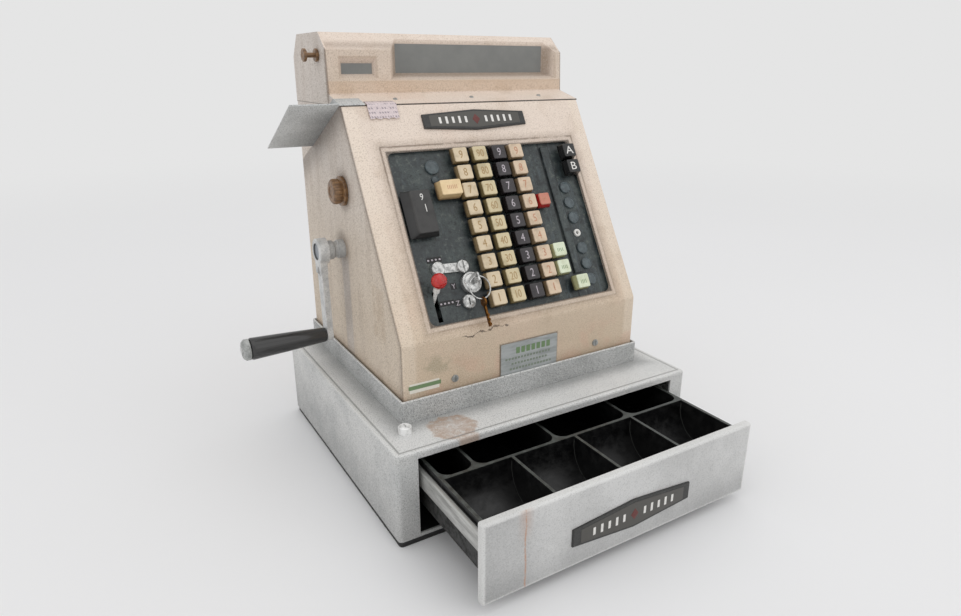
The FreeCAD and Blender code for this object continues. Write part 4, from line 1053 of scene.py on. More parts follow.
@dataclass(frozen=True)
class PrintedPaper:
    """Receipt paper with rows of faint printed dashes."""
    name: str = "receipt_printed"
    row: float = 5.2
    dash: float = 3.1

    def material(self) -> bpy.types.Material:
        """Warm grey paper; a dash is dark where its row and column waves are both high."""
        g = Graph(self.name)
        fibre = g.noise(1.2, 3, 0.6, seed=1)
        colour = g.blend(g.rise(fibre, 0.4, 0.65), (226, 212, 212), (206, 192, 194))
        v, _ = g.slope_axes()
        rows = g.math("PINGPONG", v, self.row / 2)
        columns = g.math("PINGPONG", g.total(g.x, g.product(v, 0.4)), self.dash / 2)
        broken = g.rise(g.noise(4.5, 2, seed=5), 0.42, 0.5)
        ink = g.product(g.rise(rows, 1.3, 0.7), g.rise(columns, 0.4, 0.8), broken)
        colour = g.blend(g.product(ink, 0.6), colour, (96, 88, 104))
        g.bump(fibre, 0.03)
        return g.done(colour, 0.8)


@dataclass(frozen=True)
class Flat:
    """Ink or paint of one colour, mottled a little."""
    name: str
    colour: Colour
    other: Colour
    roughness: float = 0.5
    worn: float = 0.35

    def material(self) -> bpy.types.Material:
        """Two near tones mixed by fine noise."""
        g = Graph(self.name)
        tone = g.noise(2.2, 4, 0.65, seed=1)
        colour = g.blend(g.product(g.rise(tone, 0.45, 0.65), self.worn), self.colour, self.other)
        g.bump(tone, 0.02)
        return g.done(colour, g.total(self.roughness, g.product(g.rise(tone, 0.3, 0.7), 0.1)))


class Finish(Enum):
    """Every finish of the register."""
    CASE = CreamEnamel("case_cream")
    HEAD = CreamEnamel("head_cream", head=True)
    CABINET = GreyEnamel("cabinet_grey", (208, 208, 206), (190, 191, 190), lined=True, stained=True)
    COLLAR = GreyEnamel("collar_grey", (182, 183, 182), (162, 163, 162), speckle=0.7,
                        edge_top=132.0)
    DRAWER = GreyEnamel("drawer_grey", (208, 208, 207), (191, 191, 190), streaked=True, speckle=0.22)
    SHEET = GreyEnamel("sheet_grey", (204, 206, 205), (184, 186, 185), speckle=0.6,
                       painted_shade_to=-158.0)
    BASE = Plastic("base_black_paint", (26, 26, 26), (34, 34, 33), (60, 58, 54), 0.5, 0.0)
    PANEL = PanelEnamel()
    CREAM_KEY = KeyPlastic("key_cream_aged", (216, 198, 168), (136, 116, 82), (38, 30, 18))
    GREEN_CREAM_KEY = KeyPlastic("key_green_cream_aged", (210, 195, 158), (124, 110, 74),
                                 (36, 30, 18))
    PINK_CREAM_KEY = KeyPlastic("key_pink_cream_aged", (216, 194, 168), (138, 116, 88), (38, 30, 20))
    WIDE_KEY = KeyPlastic("key_wide_cream", (236, 210, 166), (214, 184, 136), (120, 92, 58),
                          high=13.0)
    BLACK_KEY = KeyPlastic("key_black_gloss", (46, 41, 44), (26, 23, 25), (14, 12, 12),
                           roughness=0.25)
    BAR_KEY = KeyPlastic("key_bar_black", (52, 51, 50), (30, 30, 30), (12, 12, 12), high=10.0,
                         roughness=0.4)
    RED_KEY = KeyPlastic("key_red_gloss", (198, 128, 108), (172, 30, 28), (76, 12, 10), high=9.5)
    GREEN_KEY = KeyPlastic("key_green_pale", (222, 230, 204), (172, 172, 128), (72, 64, 38),
                           high=10.5)
    LETTER_KEY = KeyPlastic("key_letter_black", (30, 30, 31), (22, 22, 23), (12, 12, 12), high=11.0,
                            roughness=0.22)
    CHROME = Metal("chrome_worn", (214, 214, 212), (150, 151, 150), 0.26, 0.85, scale=4.5)
    LINK_METAL = Metal("link_nickel", (212, 212, 210), (148, 149, 148), 0.3, 0.8, scale=4.0)
    # Near-white with little metallic: painted reflection of the pale room on the chrome lock.
    BRIGHT_LOCK = Metal("lock_bright", (248, 248, 247), (206, 206, 204), 0.3, 0.15)
    STEEL = Metal("steel_dull", (190, 190, 187), (150, 150, 147), 0.35, 0.55, (1, 8, 1))
    DARK_STEEL = Metal("steel_dark", (62, 62, 61), (38, 38, 37), 0.45, 0.7)
    BRASS = Metal("brass_dull", (196, 158, 92), (128, 98, 54), 0.3)
    OLD_BRASS = Metal("key_old_brass", (128, 86, 40), (70, 44, 20), 0.38, scale=3.0)
    CRANK = CrankPaint()
    CAP_METAL = Metal("cap_aluminium", (182, 184, 182), (140, 142, 140), 0.36, 0.45)
    ROUND_CAP = Plastic("cap_dark_enamel", (58, 68, 72), (78, 90, 94), (130, 138, 138), 0.3, 0.4)
    RED_BALL = Plastic("ball_red_gloss", (196, 28, 26), (168, 18, 18), (236, 120, 110), 0.22, 0.6)
    GRIP = Plastic("grip_black", (44, 44, 46), (30, 30, 32), (104, 104, 104), 0.3, 0.35,
                   (14, 1, 1), 3.0, 0.25)
    KNOB = Plastic("knob_brown", (138, 104, 68), (96, 68, 42), (176, 146, 104), 0.4, 0.2,
                   (6, 1, 1), 4.0)
    INSERT = InsertPlastic()
    GLASS = DustyGlass()
    PAPER = PrintedPaper()
    ROLL = Flat("paper_roll_plain", (226, 220, 208), (208, 200, 188), 0.8)
    DRUM = Flat("drum_white", (218, 216, 208), (196, 194, 186), 0.5)
    RUBBER = Flat("rubber_black", (34, 34, 34), (48, 48, 46), 0.7)
    BADGE = Flat("badge_dark", (34, 34, 34), (26, 26, 26), 0.42, 0.6)
    BADGE_EDGE = Flat("badge_edge", (54, 54, 53), (30, 29, 29), 0.4, 0.5)
    WHITE_INK = Flat("ink_white", (232, 230, 226), (190, 188, 184))
    PALE_INK = Flat("ink_pale", (186, 178, 184), (128, 120, 126))
    BROWN_INK = Flat("ink_brown", (168, 138, 96), (190, 164, 122))
    PINK_INK = Flat("ink_pink", (190, 138, 110), (206, 168, 138))
    GREEN_INK = Flat("ink_green", (112, 138, 98), (134, 156, 120))
    GREY_INK = Flat("ink_grey", (128, 138, 124), (146, 154, 144))
    DARK_RED = Flat("badge_red", (104, 52, 48), (84, 40, 38))
    PLATE = Metal("plate_grey_metal", (186, 190, 190), (158, 162, 162), 0.42, 0.3, (6, 1, 1), 5.0)
    LABEL = Flat("label_pale", (228, 224, 214), (206, 198, 182), 0.7)
    BLACK_INK = Flat("ink_black", (28, 28, 28), (44, 44, 42))

    def get(self) -> bpy.types.Material:
        """The finish's material, built once."""
        known = bpy.data.materials.get(self.value.name)
        return known or self.value.material()


# ------------------------------------------------------------------ keyboard
@dataclass(frozen=True)
class KeyCap:
    """Moulded key on a flat stem: rounded rectangles that taper to a dished face."""
    base: Rect
    face: Rect
    low: float = 1.0
    high: float = 9.0
    dish: float = 0.75
    radius: float = 1.7
    stem: tuple[float, float, float] = (3.5, 1.5, -24.0)

    @property
    def centre(self) -> tuple[float, float]:
        """Middle of the face."""
        u0, u1, v0, v1 = self.face
        return (u0 + u1) / 2, (v0 + v1) / 2

    def height_at(self, u: Array, v: Array) -> Array:
        """Height of the face: high - dish (1 - s²), with s the larger share of the way to an edge.

        Args:
            u: places across the face.
            v: places up the face.

        Returns:
            w at those places.
        """
        u0, u1, v0, v1 = self.face
        across = np.abs(u - (u0 + u1) / 2) / ((u1 - u0) / 2)
        up = np.abs(v - (v0 + v1) / 2) / ((v1 - v0) / 2)
        share = np.clip(np.maximum(across, up), 0, 1)
        return self.high - self.dish * (1 - share ** 2)

    def surface(self) -> Surface:
        """The key's skin in slope coordinates, with its stem.

        Returns:
            The key and stem as closed surfaces.
        """
        rings = [(grown(self.base, -0.8), 1.0, self.low), (grown(self.base, -0.15), 1.0,
                                                           self.low + 0.25),
                 (self.base, 1.0, self.low + 0.8)]
        rise = self.high - 1.1 - (self.low + 0.8)
        for share in (0.25, 0.5, 0.75, 0.96):
            waist = grown(between(self.base, self.face, share),
                          -0.25 * math.sin(math.pi * share))
            rings.append((waist, 1.0, self.low + 0.8 + rise * share))
        rings += [(grown(self.face, -0.08), 1.0, self.high - 0.6),
                  (grown(self.face, -0.4), 1.0, self.high - 0.14),
                  (grown(self.face, -0.9), 1.0, self.high)]
        inner = grown(self.face, -1.3)
        for share in (1.0, 0.86, 0.7, 0.5, 0.3, 0.1):
            rings.append((shrunk(inner, share), share,
                          self.high - self.dish * (1 - share ** 2) - 0.04))
        stack = np.array([rounded_ring(rect, self.radius * scale, height)
                          for rect, scale, height in rings])
        u, v = self.centre
        half_u, half_v, foot = self.stem
        stem = block((u - half_u, u + half_u, v - half_v, v + half_v), foot, self.low + 0.4)
        return joined([ring_stack(stack), stem])

    def on_face(self, mark: Surface, du: float = 0.0, dv: float = 0.0) -> Surface:
        """Lay a flat mark on the dished face.

        Args:
            mark: thin solid centred on (0, 0, 0).
            du: shift across the face.
            dv: shift up the face.

        Returns:
            The mark in slope coordinates, standing 0.1 mm off the face.
        """
        points = mark.points.copy()
        u, v = self.centre
        points[:, 0] += u + du
        points[:, 1] += v + dv
        points[:, 2] += self.height_at(points[:, 0], points[:, 1]) + 0.04
        return Surface(points, mark.faces)


def tally(count: int, height: float, pitch: float, width: float, thickness: float = 0.12) -> Surface:
    """A row of plain upright strokes centred on (0, 0).

    Args:
        count: number of strokes.
        height: their height.
        pitch: step from one to the next.
        width: their width.
        thickness: height of the raised faces.

    Returns:
        The strokes as one surface.
    """
    left = -(count - 1) * pitch / 2
    strokes = []
    for number in range(count):
        u = left + number * pitch
        strokes.append(block((u - width / 2, u + width / 2, -height / 2, height / 2),
                             -thickness / 2, thickness / 2, 0.2, 0.03))
    return joined(strokes)


@dataclass(frozen=True)
class Mark:
    """One mark on a special key: characters, or a row of strokes when there are none."""
    text: str
    height: float
    du: float = 0.0
    dv: float = 0.0
    strokes: int = 4
    pitch: float = 1.8
    bold: float = 1.0

    def surface(self) -> Surface:
        """The mark as a thin solid centred on (0, 0)."""
        if not self.text:
            return tally(self.strokes, self.height, self.pitch, 0.7)
        shape = glyphs(self.text, self.height)
        return shape.moved(lambda p: p * np.array([self.bold, 1.0, 1.0]))


@dataclass(frozen=True)
class SpecialKey:
    """A key outside the digit columns."""
    node: str
    cap: KeyCap
    finish: Finish
    ink: Finish
    marks: tuple[Mark, ...]


@dataclass
class Keyboard:
    """Panel, digit columns, special keys, caps and small labels."""
    columns: tuple[float, ...] = (-35.5, -10.3, 15.2, 39.0)
    top_row: float = 198.0
    pitch: float = 20.9
    rows: int = 9
    half_base: tuple[float, float] = (10.5, 9.4)
    half_face: tuple[float, float] = (8.7, 8.3)
    panel_top: float = -5.0
    cap_u: float = 103.3
    cap_rows: tuple[float, ...] = (150.5, 131.0, 111.5, 72.5, 53.0, 33.5)
    finishes: tuple[Finish, ...] = (Finish.CREAM_KEY, Finish.GREEN_CREAM_KEY, Finish.BLACK_KEY,
                                    Finish.PINK_CREAM_KEY)
    inks: tuple[Finish, ...] = (Finish.BROWN_INK, Finish.BROWN_INK, Finish.PALE_INK,
                                Finish.PINK_INK)
    special: tuple[SpecialKey, ...] = field(default_factory=lambda: (
        SpecialKey("register_bar", KeyCap((-118.4, -84.0, 109.5, 163.0), (-110.5, -86.5, 113, 161),
                                          high=10.0, dish=0.4, radius=2.4, stem=(8.0, 3.0, -24.0)),
                   Finish.BAR_KEY, Finish.WHITE_INK,
                   (Mark("9", 7.4, 1.0, 16.0, bold=0.8), Mark("1", 8.6, 3.0, 3.5, bold=0.7))),
        SpecialKey("total_key", KeyCap((-75.0, -46.7, 149.5, 170.0), (-73.0, -47.6, 151.5, 168.5),
                                       high=13.0),
                   Finish.WIDE_KEY, Finish.PINK_INK, (Mark("", 4.6, 1.0, 0.0, 6, 2.2),)),
        SpecialKey("red_key", KeyCap((50.2, 69.0, 126.3, 144.3), (52.4, 66.8, 128.7, 142.7),
                                     high=9.5),
                   Finish.RED_KEY, Finish.PINK_INK, (Mark("", 4.4, 0.0, 0.0, 4, 2.0),)),
        SpecialKey("green_key_1", KeyCap((50.4, 70.4, 63.6, 81.6), (52.2, 68.6, 64.8, 80.8),
                                         high=10.5),
                   Finish.GREEN_KEY, Finish.GREEN_INK, (Mark("", 4.2, 0.0, -1.0, 4, 2.3),)),
        SpecialKey("green_key_2", KeyCap((50.0, 69.6, 42.7, 60.7), (51.8, 67.8, 43.9, 59.9),
                                         high=10.5),
                   Finish.GREEN_KEY, Finish.GREEN_INK, (Mark("", 4.2, 0.0, -1.0, 4, 2.3),)),
        SpecialKey("green_key_3", KeyCap((70.0, 90.8, 21.8, 39.8), (72.6, 89.0, 23.0, 39.0),
                                         high=10.5),
                   Finish.GREEN_KEY, Finish.GREEN_INK, (Mark("", 4.6, 0.0, -1.0, 4, 2.3),)),
        SpecialKey("letter_key_a", KeyCap((104.0, 124.2, 183.0, 202.6), (106, 123, 184.8, 201.2),
                                          high=11.0, dish=0.5),
                   Finish.LETTER_KEY, Finish.WHITE_INK, (Mark("A", 9.6, bold=1.15),)),
        SpecialKey("letter_key_b", KeyCap((104.0, 124.2, 162.4, 182.0), (106, 123, 164.2, 180.6),
                                          high=11.0, dish=0.5),
                   Finish.LETTER_KEY, Finish.WHITE_INK, (Mark("B", 9.6, bold=1.15),)),
    ))

    def build(self) -> None:
        """Make the whole keyboard."""
        dress("key_panel", Finish.PANEL.get())
        for column in range(len(self.columns)):
            self._column(column)
        for key in self.special:
            self._special(key)
        self._caps()
        self._labels()

    def key(self, column: int, row: int) -> KeyCap:
        """Digit key of a column and row, row 0 on top."""
        u, v = self.columns[column], self.top_row - self.pitch * row
        (bu, bv), (fu, fv) = self.half_base, self.half_face
        return KeyCap((u - bu, u + bu, v - bv, v + bv), (u - fu, u + fu, v - fv, v + fv))

    def _column(self, column: int) -> None:
        """Nine keys of one column and their numerals, 9 on top; the second column counts tens."""
        node = f"digit_keys_{column + 1}"
        keys = [self.key(column, row) for row in range(self.rows)]
        skin = joined(key.surface() for key in keys).moved(SLOPE.place)
        piece_from(f"{node}_moulded", skin, self.finishes[column].get(), body_of_node(node),
                   slot_of_node(node), [node], sharp=KEY_SHARP_FOLD)
        marks = []
        for row, key in enumerate(keys):
            digit = str(self.rows - row)
            text, height, width = (digit + "0", 9.0, 0.75) if column == 1 else (digit, 9.4, 0.8)
            marks.append(key.on_face(Mark(text, height, bold=width).surface()))
        piece_from(f"{node}_numerals", joined(marks).moved(SLOPE.place),
                   self.inks[column].get(), body_of_node(node), slot_of_node(node))

    def _special(self, key: SpecialKey) -> None:
        """One special key and its marks."""
        body, slot = body_of_node(key.node), slot_of_node(key.node)
        piece_from(f"{key.node}_moulded", key.cap.surface().moved(SLOPE.place), key.finish.get(),
                   body, slot, [key.node], sharp=KEY_SHARP_FOLD)
        marks = joined(key.cap.on_face(mark.surface(), mark.du, mark.dv) for mark in key.marks)
        piece_from(f"{key.node}_marks", marks.moved(SLOPE.place), key.ink.get(), body, slot)

    def _caps(self) -> None:
        """Domed caps with a rim, each a turned profile, and the ring round the keyhole."""
        top = self.panel_top
        places = [(self.cap_u, v, 7.4) for v in self.cap_rows]
        places += [(-69.0, 190.0, 8.4), (-69.0, 175.2, 4.4)]
        domes = []
        for u, v, r in places:
            profile = [(top, r), (top + 1.5, r), (top + 2.1, r * 0.97), (top + 2.5, r * 0.9),
                       (top + 2.5, r * 0.84), (top + 2.2, r * 0.79), (top + 2.5, r * 0.66),
                       (top + 2.8, r * 0.45), (top + 3.0, r * 0.22), (top + 3.0, 0.02)]
            domes.append(revolved(profile, np.array([u, v, 0.0]), np.array([0, 0, 1.0]), 40))
        piece_from("blanking_caps_domed", joined(domes).moved(SLOPE.place),
                   Finish.ROUND_CAP.get(), Body.MACHINE, slot_of_node("blanking_caps"),
                   ["blanking_caps"])
        ring = [(top, 2.2), (top, 4.7), (top + 1.4, 4.7), (top + 2.1, 4.3), (top + 2.3, 3.6),
                (top + 2.0, 2.7), (top + 1.2, 2.2)]
        surface = revolved(ring + [ring[0]], np.array([102.5, 92.0, 0.0]), np.array([0, 0, 1.0]))
        piece_from("escutcheon_ring", surface.moved(SLOPE.place), Finish.WHITE_INK.get(),
                   Body.MACHINE, slot_of_node("blanking_caps"))

    def _labels(self) -> None:
        """Dark label strips with dotted rows, the lever's slot, and the letters by the lock."""
        top = self.panel_top
        strips = [block((-104.0, -86.0, 83.0, 89.0), top - 0.2, top + 0.25),
                  block((-102.0, -84.0, 34.0, 40.0), top - 0.2, top + 0.25)]
        for v in (73.0, 54.0, 35.0):
            strips.append(block((-83.6, -76.6, v - 3.7, v + 3.7), top - 0.2, top + 0.2))
        piece_from("label_strips", joined(strips).moved(SLOPE.place), Finish.BLACK_INK.get(),
                   Body.MACHINE, slot_of_node("key_panel"))
        dots = []
        for u0, v0 in ((-102.0, 86.0), (-100.0, 37.0)):
            for step in range(4):
                u = u0 + 4.6 * step
                dots.append(block((u - 1.2, u + 1.2, v0 - 1.0, v0 + 1.0), top, top + 0.45, 0.8))
        for text, v in (("X", 73.0), ("Y", 54.0), ("Z", 35.0)):
            letter = glyphs(text, 5.2, 0.3)
            letter.points += np.array([-80.1, v, top + 0.3])
            dots.append(letter)
        piece_from("label_letters", joined(dots).moved(SLOPE.place), Finish.PALE_INK.get(),
                   Body.MACHINE, slot_of_node("key_panel"))


# ------------------------------------------------------------------ locks, ring and lever
def holed_plate(outer: Array, inner: Array, half: float) -> Surface:
    """Flat plate with one hole, between an outline and a hole with as many points.

    Args:
        outer: outline (n, 2), anticlockwise.
        inner: hole (n, 2), anticlockwise, point by point with the outline.
        half: half of the thickness.

    Returns:
        The plate in (first axis, second axis, across) coordinates.
    """
    ease = 0.3
    middle_out, middle_in = outer.mean(axis=0), inner.mean(axis=0)
    tight = middle_out + (outer - middle_out) * 0.96
    wide = middle_in + (inner - middle_in) * 1.12
    loops = [(inner, -half + ease), (wide, -half), (tight, -half), (outer, -half + ease),
             (outer, half - ease), (tight, half), (wide, half), (inner, half - ease)]
    rings = np.array([np.column_stack([loop, np.full(len(loop), height)])
                      for loop, height in loops + [loops[0]]])
    return ring_stack(rings, closed_ends=False)


@dataclass
class Controls:
    """Link plate, locks, ring with its key, and the mode lever."""
    main_lock: tuple[float, float] = (-59.5, 54.0)
    bow: tuple[float, float, float] = (-58.2, 57.5, 12.0)
    ring_radius: float = 12.6
    wire_radius: float = 0.8
    lever_pivot: tuple[float, float, float] = (-105.0, 30.0, -30.0)
    lever_lean: float = 33.0
    lever_length: float = 53.0
    ball_radius: float = 8.5
    panel_top: float = -5.0

    def build(self) -> None:
        """Make the controls."""
        eased_copy("link_plate", Finish.LINK_METAL.get(), 0.35)
        eased_copy("lower_lock", Finish.CHROME.get(), 0.3)
        eased_copy("ring_key", Finish.OLD_BRASS.get(), 0.25)
        dress("mode_lever_stem", Finish.WHITE_INK.get())
        self._main_lock()
        self._ring()
        self._ball()

    def _main_lock(self) -> None:
        """Lock face turned with a rim, a groove and a low dome, and the bow standing in it."""
        u, v = self.main_lock
        top = self.panel_top
        profile = [(-22.0, 5.0), (top + 0.2, 5.0), (top + 0.2, 12.0), (0.4, 12.0), (1.1, 11.7),
                   (1.5, 11.1), (1.5, 10.4), (0.9, 10.0), (0.9, 9.5), (1.6, 8.9), (2.1, 7.0),
                   (2.4, 4.6), (2.45, 2.2), (2.45, 0.02)]
        disc = revolved(profile, np.array([u, v, 0.0]), np.array([0, 0, 1.0]), 64)
        bow_u, bow_v, bow_w = self.bow
        outline = rounded_ring((bow_v - 6.5, bow_v + 4.5, 2.0, bow_w + 4.0), 2.6, 0.0, 8)[:, :2]
        angle = np.arctan2(outline[:, 1] - bow_w, outline[:, 0] - bow_v)
        hole = np.column_stack([bow_v + 2.0 * np.cos(angle), bow_w + 2.0 * np.sin(angle)])
        plate = holed_plate(outline, hole, 1.0)
        stood = Surface(np.column_stack([bow_u + plate.points[:, 2], plate.points[:, 0],
                                         plate.points[:, 1]]), plate.faces)
        piece_from("main_lock_turned", joined([disc, stood]).moved(SLOPE.place),
                   Finish.CHROME.get(), Body.MAIN_LOCK, slot_of_node("main_lock"), ["main_lock"])

    def _ring(self) -> None:
        """Wire ring as a smooth torus."""
        u, v, w = self.bow
        ring = torus(np.array([u, v - self.ring_radius, w]), np.array([0, 0, 1.0]),
                     self.ring_radius, self.wire_radius, 96, 14)
        piece_from("key_ring_wire", ring.moved(SLOPE.place), Finish.CHROME.get(), Body.KEY_RING,
                   slot_of_node("key_ring"), ["key_ring"])

    def _ball(self) -> None:
        """Lever ball: a sphere with a shallow moulding line, turned about the leaning rod."""
        lean = math.radians(self.lever_lean)
        along = np.array([0.0, math.sin(lean), math.cos(lean)])
        centre = np.array(self.lever_pivot) + self.lever_length * along
        turn = np.linspace(-math.pi / 2 + 0.26, math.pi / 2 - 0.002, 40)
        reach = self.ball_radius - 0.12 * np.exp(-(turn / 0.045) ** 2)
        profile = list(zip((reach * np.sin(turn)).tolist(), (reach * np.cos(turn)).tolist()))
        ball = revolved(profile, centre, along, 56)
        piece_from("mode_lever_ball", ball.moved(SLOPE.place), Finish.RED_BALL.get(),
                   Body.MODE_LEVER, slot_of_node("mode_lever_knob"), ["mode_lever_knob"])


# ------------------------------------------------------------------ crank and side knobs
@dataclass
class Crank:
    """Crank arm, grip, cap and the boss in the case."""
    axis_y: float = 40.0
    axis_z: float = 261.0
    grip_y: float = 34.77
    grip_z: float = 161.14
    grip_inner: float = -188.8
    grip_outer: float = -276.0
    cap_inner: float = -276.6
    outwards: tuple[float, float, float] = (-1.0, 0.0, 0.0)

    def build(self) -> None:
        """Make the crank's pieces."""
        eased_copy("crank_arm", Finish.CRANK.get(), 0.9)
        dress("crank_shaft", Finish.STEEL.get())
        self._boss()
        self._grip()
        self._cap()

    def _boss(self) -> None:
        """Double-flanged boss, a turned profile with a bore for the shaft."""
        profile = [(0.0, 4.4), (0.0, 11.0), (5.6, 11.0), (6.2, 10.9), (9.0, 10.6), (9.6, 9.8),
                   (11.4, 9.4), (13.6, 9.4), (14.4, 10.4), (15.2, 11.0), (20.2, 11.0),
                   (21.2, 10.6), (21.6, 9.8), (21.6, 4.4)]
        boss = revolved(profile + [profile[0]], np.array([-156.0, self.axis_y, self.axis_z]),
                        np.array(self.outwards), 56)
        piece_from("crank_boss_turned", boss, Finish.CRANK.get(), Body.MACHINE,
                   slot_of_node("crank_bearing"), ["crank_bearing"])

    def _grip(self) -> None:
        """Tapered grip: radius grows with the way out, with a faint swell and rounded ends."""
        length = self.grip_inner - self.grip_outer
        way = np.linspace(0.02, 0.98, 30)
        radius = 8.6 + 4.2 * way + 0.25 * np.sin(math.pi * way)
        profile = [(0.0, 4.3), (0.0, 7.3), (0.4, 8.2)]
        profile += list(zip((way * length).tolist(), radius.tolist()))
        profile += [(length - 0.5, 12.2), (length, 11.3), (length, 4.3), (0.0, 4.3)]
        grip = revolved(profile, np.array([self.grip_inner, self.grip_y, self.grip_z]),
                        np.array(self.outwards), 64)
        piece_from("crank_grip_turned", grip, Finish.GRIP.get(), Body.GRIP,
                   slot_of_node("crank_grip"), ["crank_grip"])

    def _cap(self) -> None:
        """End cap with a chamfered nose and a turned ring."""
        profile = [(0.0, 4.2), (0.0, 11.7), (0.5, 12.2), (4.9, 12.2), (5.4, 12.0), (7.6, 9.9),
                   (8.0, 9.2), (8.0, 6.4), (7.6, 6.0), (7.6, 0.02)]
        cap = revolved(profile, np.array([self.cap_inner, self.grip_y, self.grip_z]),
                       np.array(self.outwards), 20)
        piece_from("grip_cap_turned", cap, Finish.CAP_METAL.get(), Body.CRANK,
                   slot_of_node("grip_cap"), ["grip_cap"])


@dataclass
class SideKnobs:
    """Paper feed knob and spool knob on the left side."""
    face_x: float = -158.4
    platen: tuple[float, float] = (25.0, 330.0)
    spool: tuple[float, float] = (79.0, 472.0)
    flutes: int = 28

    def build(self) -> None:
        """Make both knobs."""
        self._platen()
        self._spool()

    def _platen(self) -> None:
        """Feed knob: grooved flange and a barrel whose radius ripples round it as flutes."""
        profile = [(0.0, 15.8), (0.4, 16.4), (1.3, 16.5), (1.6, 15.7), (2.3, 15.7), (2.6, 16.5),
                   (3.6, 16.4), (4.0, 15.8), (4.1, 14.0), (4.8, 13.0), (5.6, 13.6), (8.5, 14.0),
                   (11.6, 13.8), (12.9, 13.0), (13.8, 11.4), (14.0, 10.0), (14.0, 6.6),
                   (13.3, 6.0), (13.3, 0.02)]
        knob = revolved(profile, np.zeros(3), np.array([-1.0, 0.0, 0.0]), self.flutes * 6)
        radius = np.hypot(knob.points[:, 1], knob.points[:, 2])
        turn = np.arctan2(knob.points[:, 2], knob.points[:, 1])
        barrel = np.clip((-knob.points[:, 0] - 4.9) / 0.8, 0, 1) * np.clip((radius - 11) / 2, 0, 1)
        ripple = 1 - 0.028 * barrel * (0.5 + 0.5 * np.cos(self.flutes * turn))
        knob.points[:, 1:] *= ripple[:, None]
        knob.points += np.array([self.face_x, *self.platen])
        piece_from("platen_knob_turned", knob, Finish.KNOB.get(), Body.PLATEN,
                   slot_of_node("platen_knob"), ["platen_knob"])

    def _spool(self) -> None:
        """Spool knob: two rounded flanges on a thin hub."""
        profile = [(-10.0, 3.0), (0.0, 3.0), (0.0, 6.6), (0.4, 7.0), (2.5, 7.0), (3.0, 6.5),
                   (3.2, 3.4), (3.8, 2.7), (12.2, 2.7), (12.8, 3.4), (13.0, 6.4), (13.5, 7.0),
                   (15.8, 7.0), (16.4, 6.3), (16.4, 3.0), (16.1, 2.6), (16.1, 0.02)]
        knob = revolved(profile, np.array([self.face_x, *self.spool]), np.array([-1.0, 0, 0]), 40)
        piece_from("spool_knob_turned", knob, Finish.KNOB.get(), Body.SPOOL,
                   slot_of_node("spool_knob"), ["spool_knob"])


# ------------------------------------------------------------------ receipt
@dataclass
class Receipt:
    """Paper strip over the head's lip, and the shelf beside it."""
    left: float = -129.0
    right: float = -94.5
    path: tuple[tuple[float, float], ...] = ((24.0, 424.25), (18.0, 422.9), (14.6, 421.9),
                                             (13.7, 420.9), (13.0, 418.9))
    tail_v: tuple[float, float] = (262.0, 246.9)
    thickness: float = 0.25

    def build(self) -> None:
        """Make the strip as a swept, slightly waved sheet with a torn lower edge."""
        columns = np.linspace(0.0, 1.0, 36)
        tail = np.linspace(self.tail_v[0], self.tail_v[1], 16)[1:]
        slope = SLOPE.place(np.column_stack([np.zeros_like(tail), tail, np.full_like(tail, 1.1)]))
        path = np.vstack([np.array(self.path), slope[:, 1:]])
        along = np.linspace(0.0, 1.0, len(path))
        grid = np.zeros((len(path), len(columns), 3))
        grid[..., 0] = self.left + (self.right - self.left) * columns[None, :]
        grid[..., 1:] = path[:, None, :]
        wave = 0.35 * along[:, None] ** 2 * (1 + np.sin(9 * columns + 1.0))[None, :]
        torn = 0.7 * np.sin(23 * columns) + 0.5 * np.sin(51 * columns + 1) - 0.9
        grid += wave[..., None] * SLOPE.normal
        grid += (along[:, None] ** 6 * torn[None, :])[..., None] * -SLOPE.climb
        piece = piece_from("receipt_strip", sheet_grid(grid), Finish.PAPER.get(), Body.MACHINE,
                           slot_of_node("receipt_paper"), ["receipt_paper"], sharp=PAPER_SHARP_FOLD)
        solid = piece.modifiers.new("thickness", "SOLIDIFY")
        solid.thickness = self.thickness * MM
        solid.offset = 0.0
        eased_copy("receipt_shelf", Finish.SHEET.get(), 0.3)


# ------------------------------------------------------------------ badges and labels
def lozenge(half_u: float, half_v: float, low: float, high: float) -> Surface:
    """A diamond-shaped plate with an eased rim, from four-sided rings."""
    rings = []
    for scale, height in ((1.0, low), (1.0, high - 0.1), (0.93, high)):
        rings.append([(half_u * scale, 0, height), (0, half_v * scale, height),
                      (-half_u * scale, 0, height), (0, -half_v * scale, height)])
    return ring_stack(np.array(rings, float))


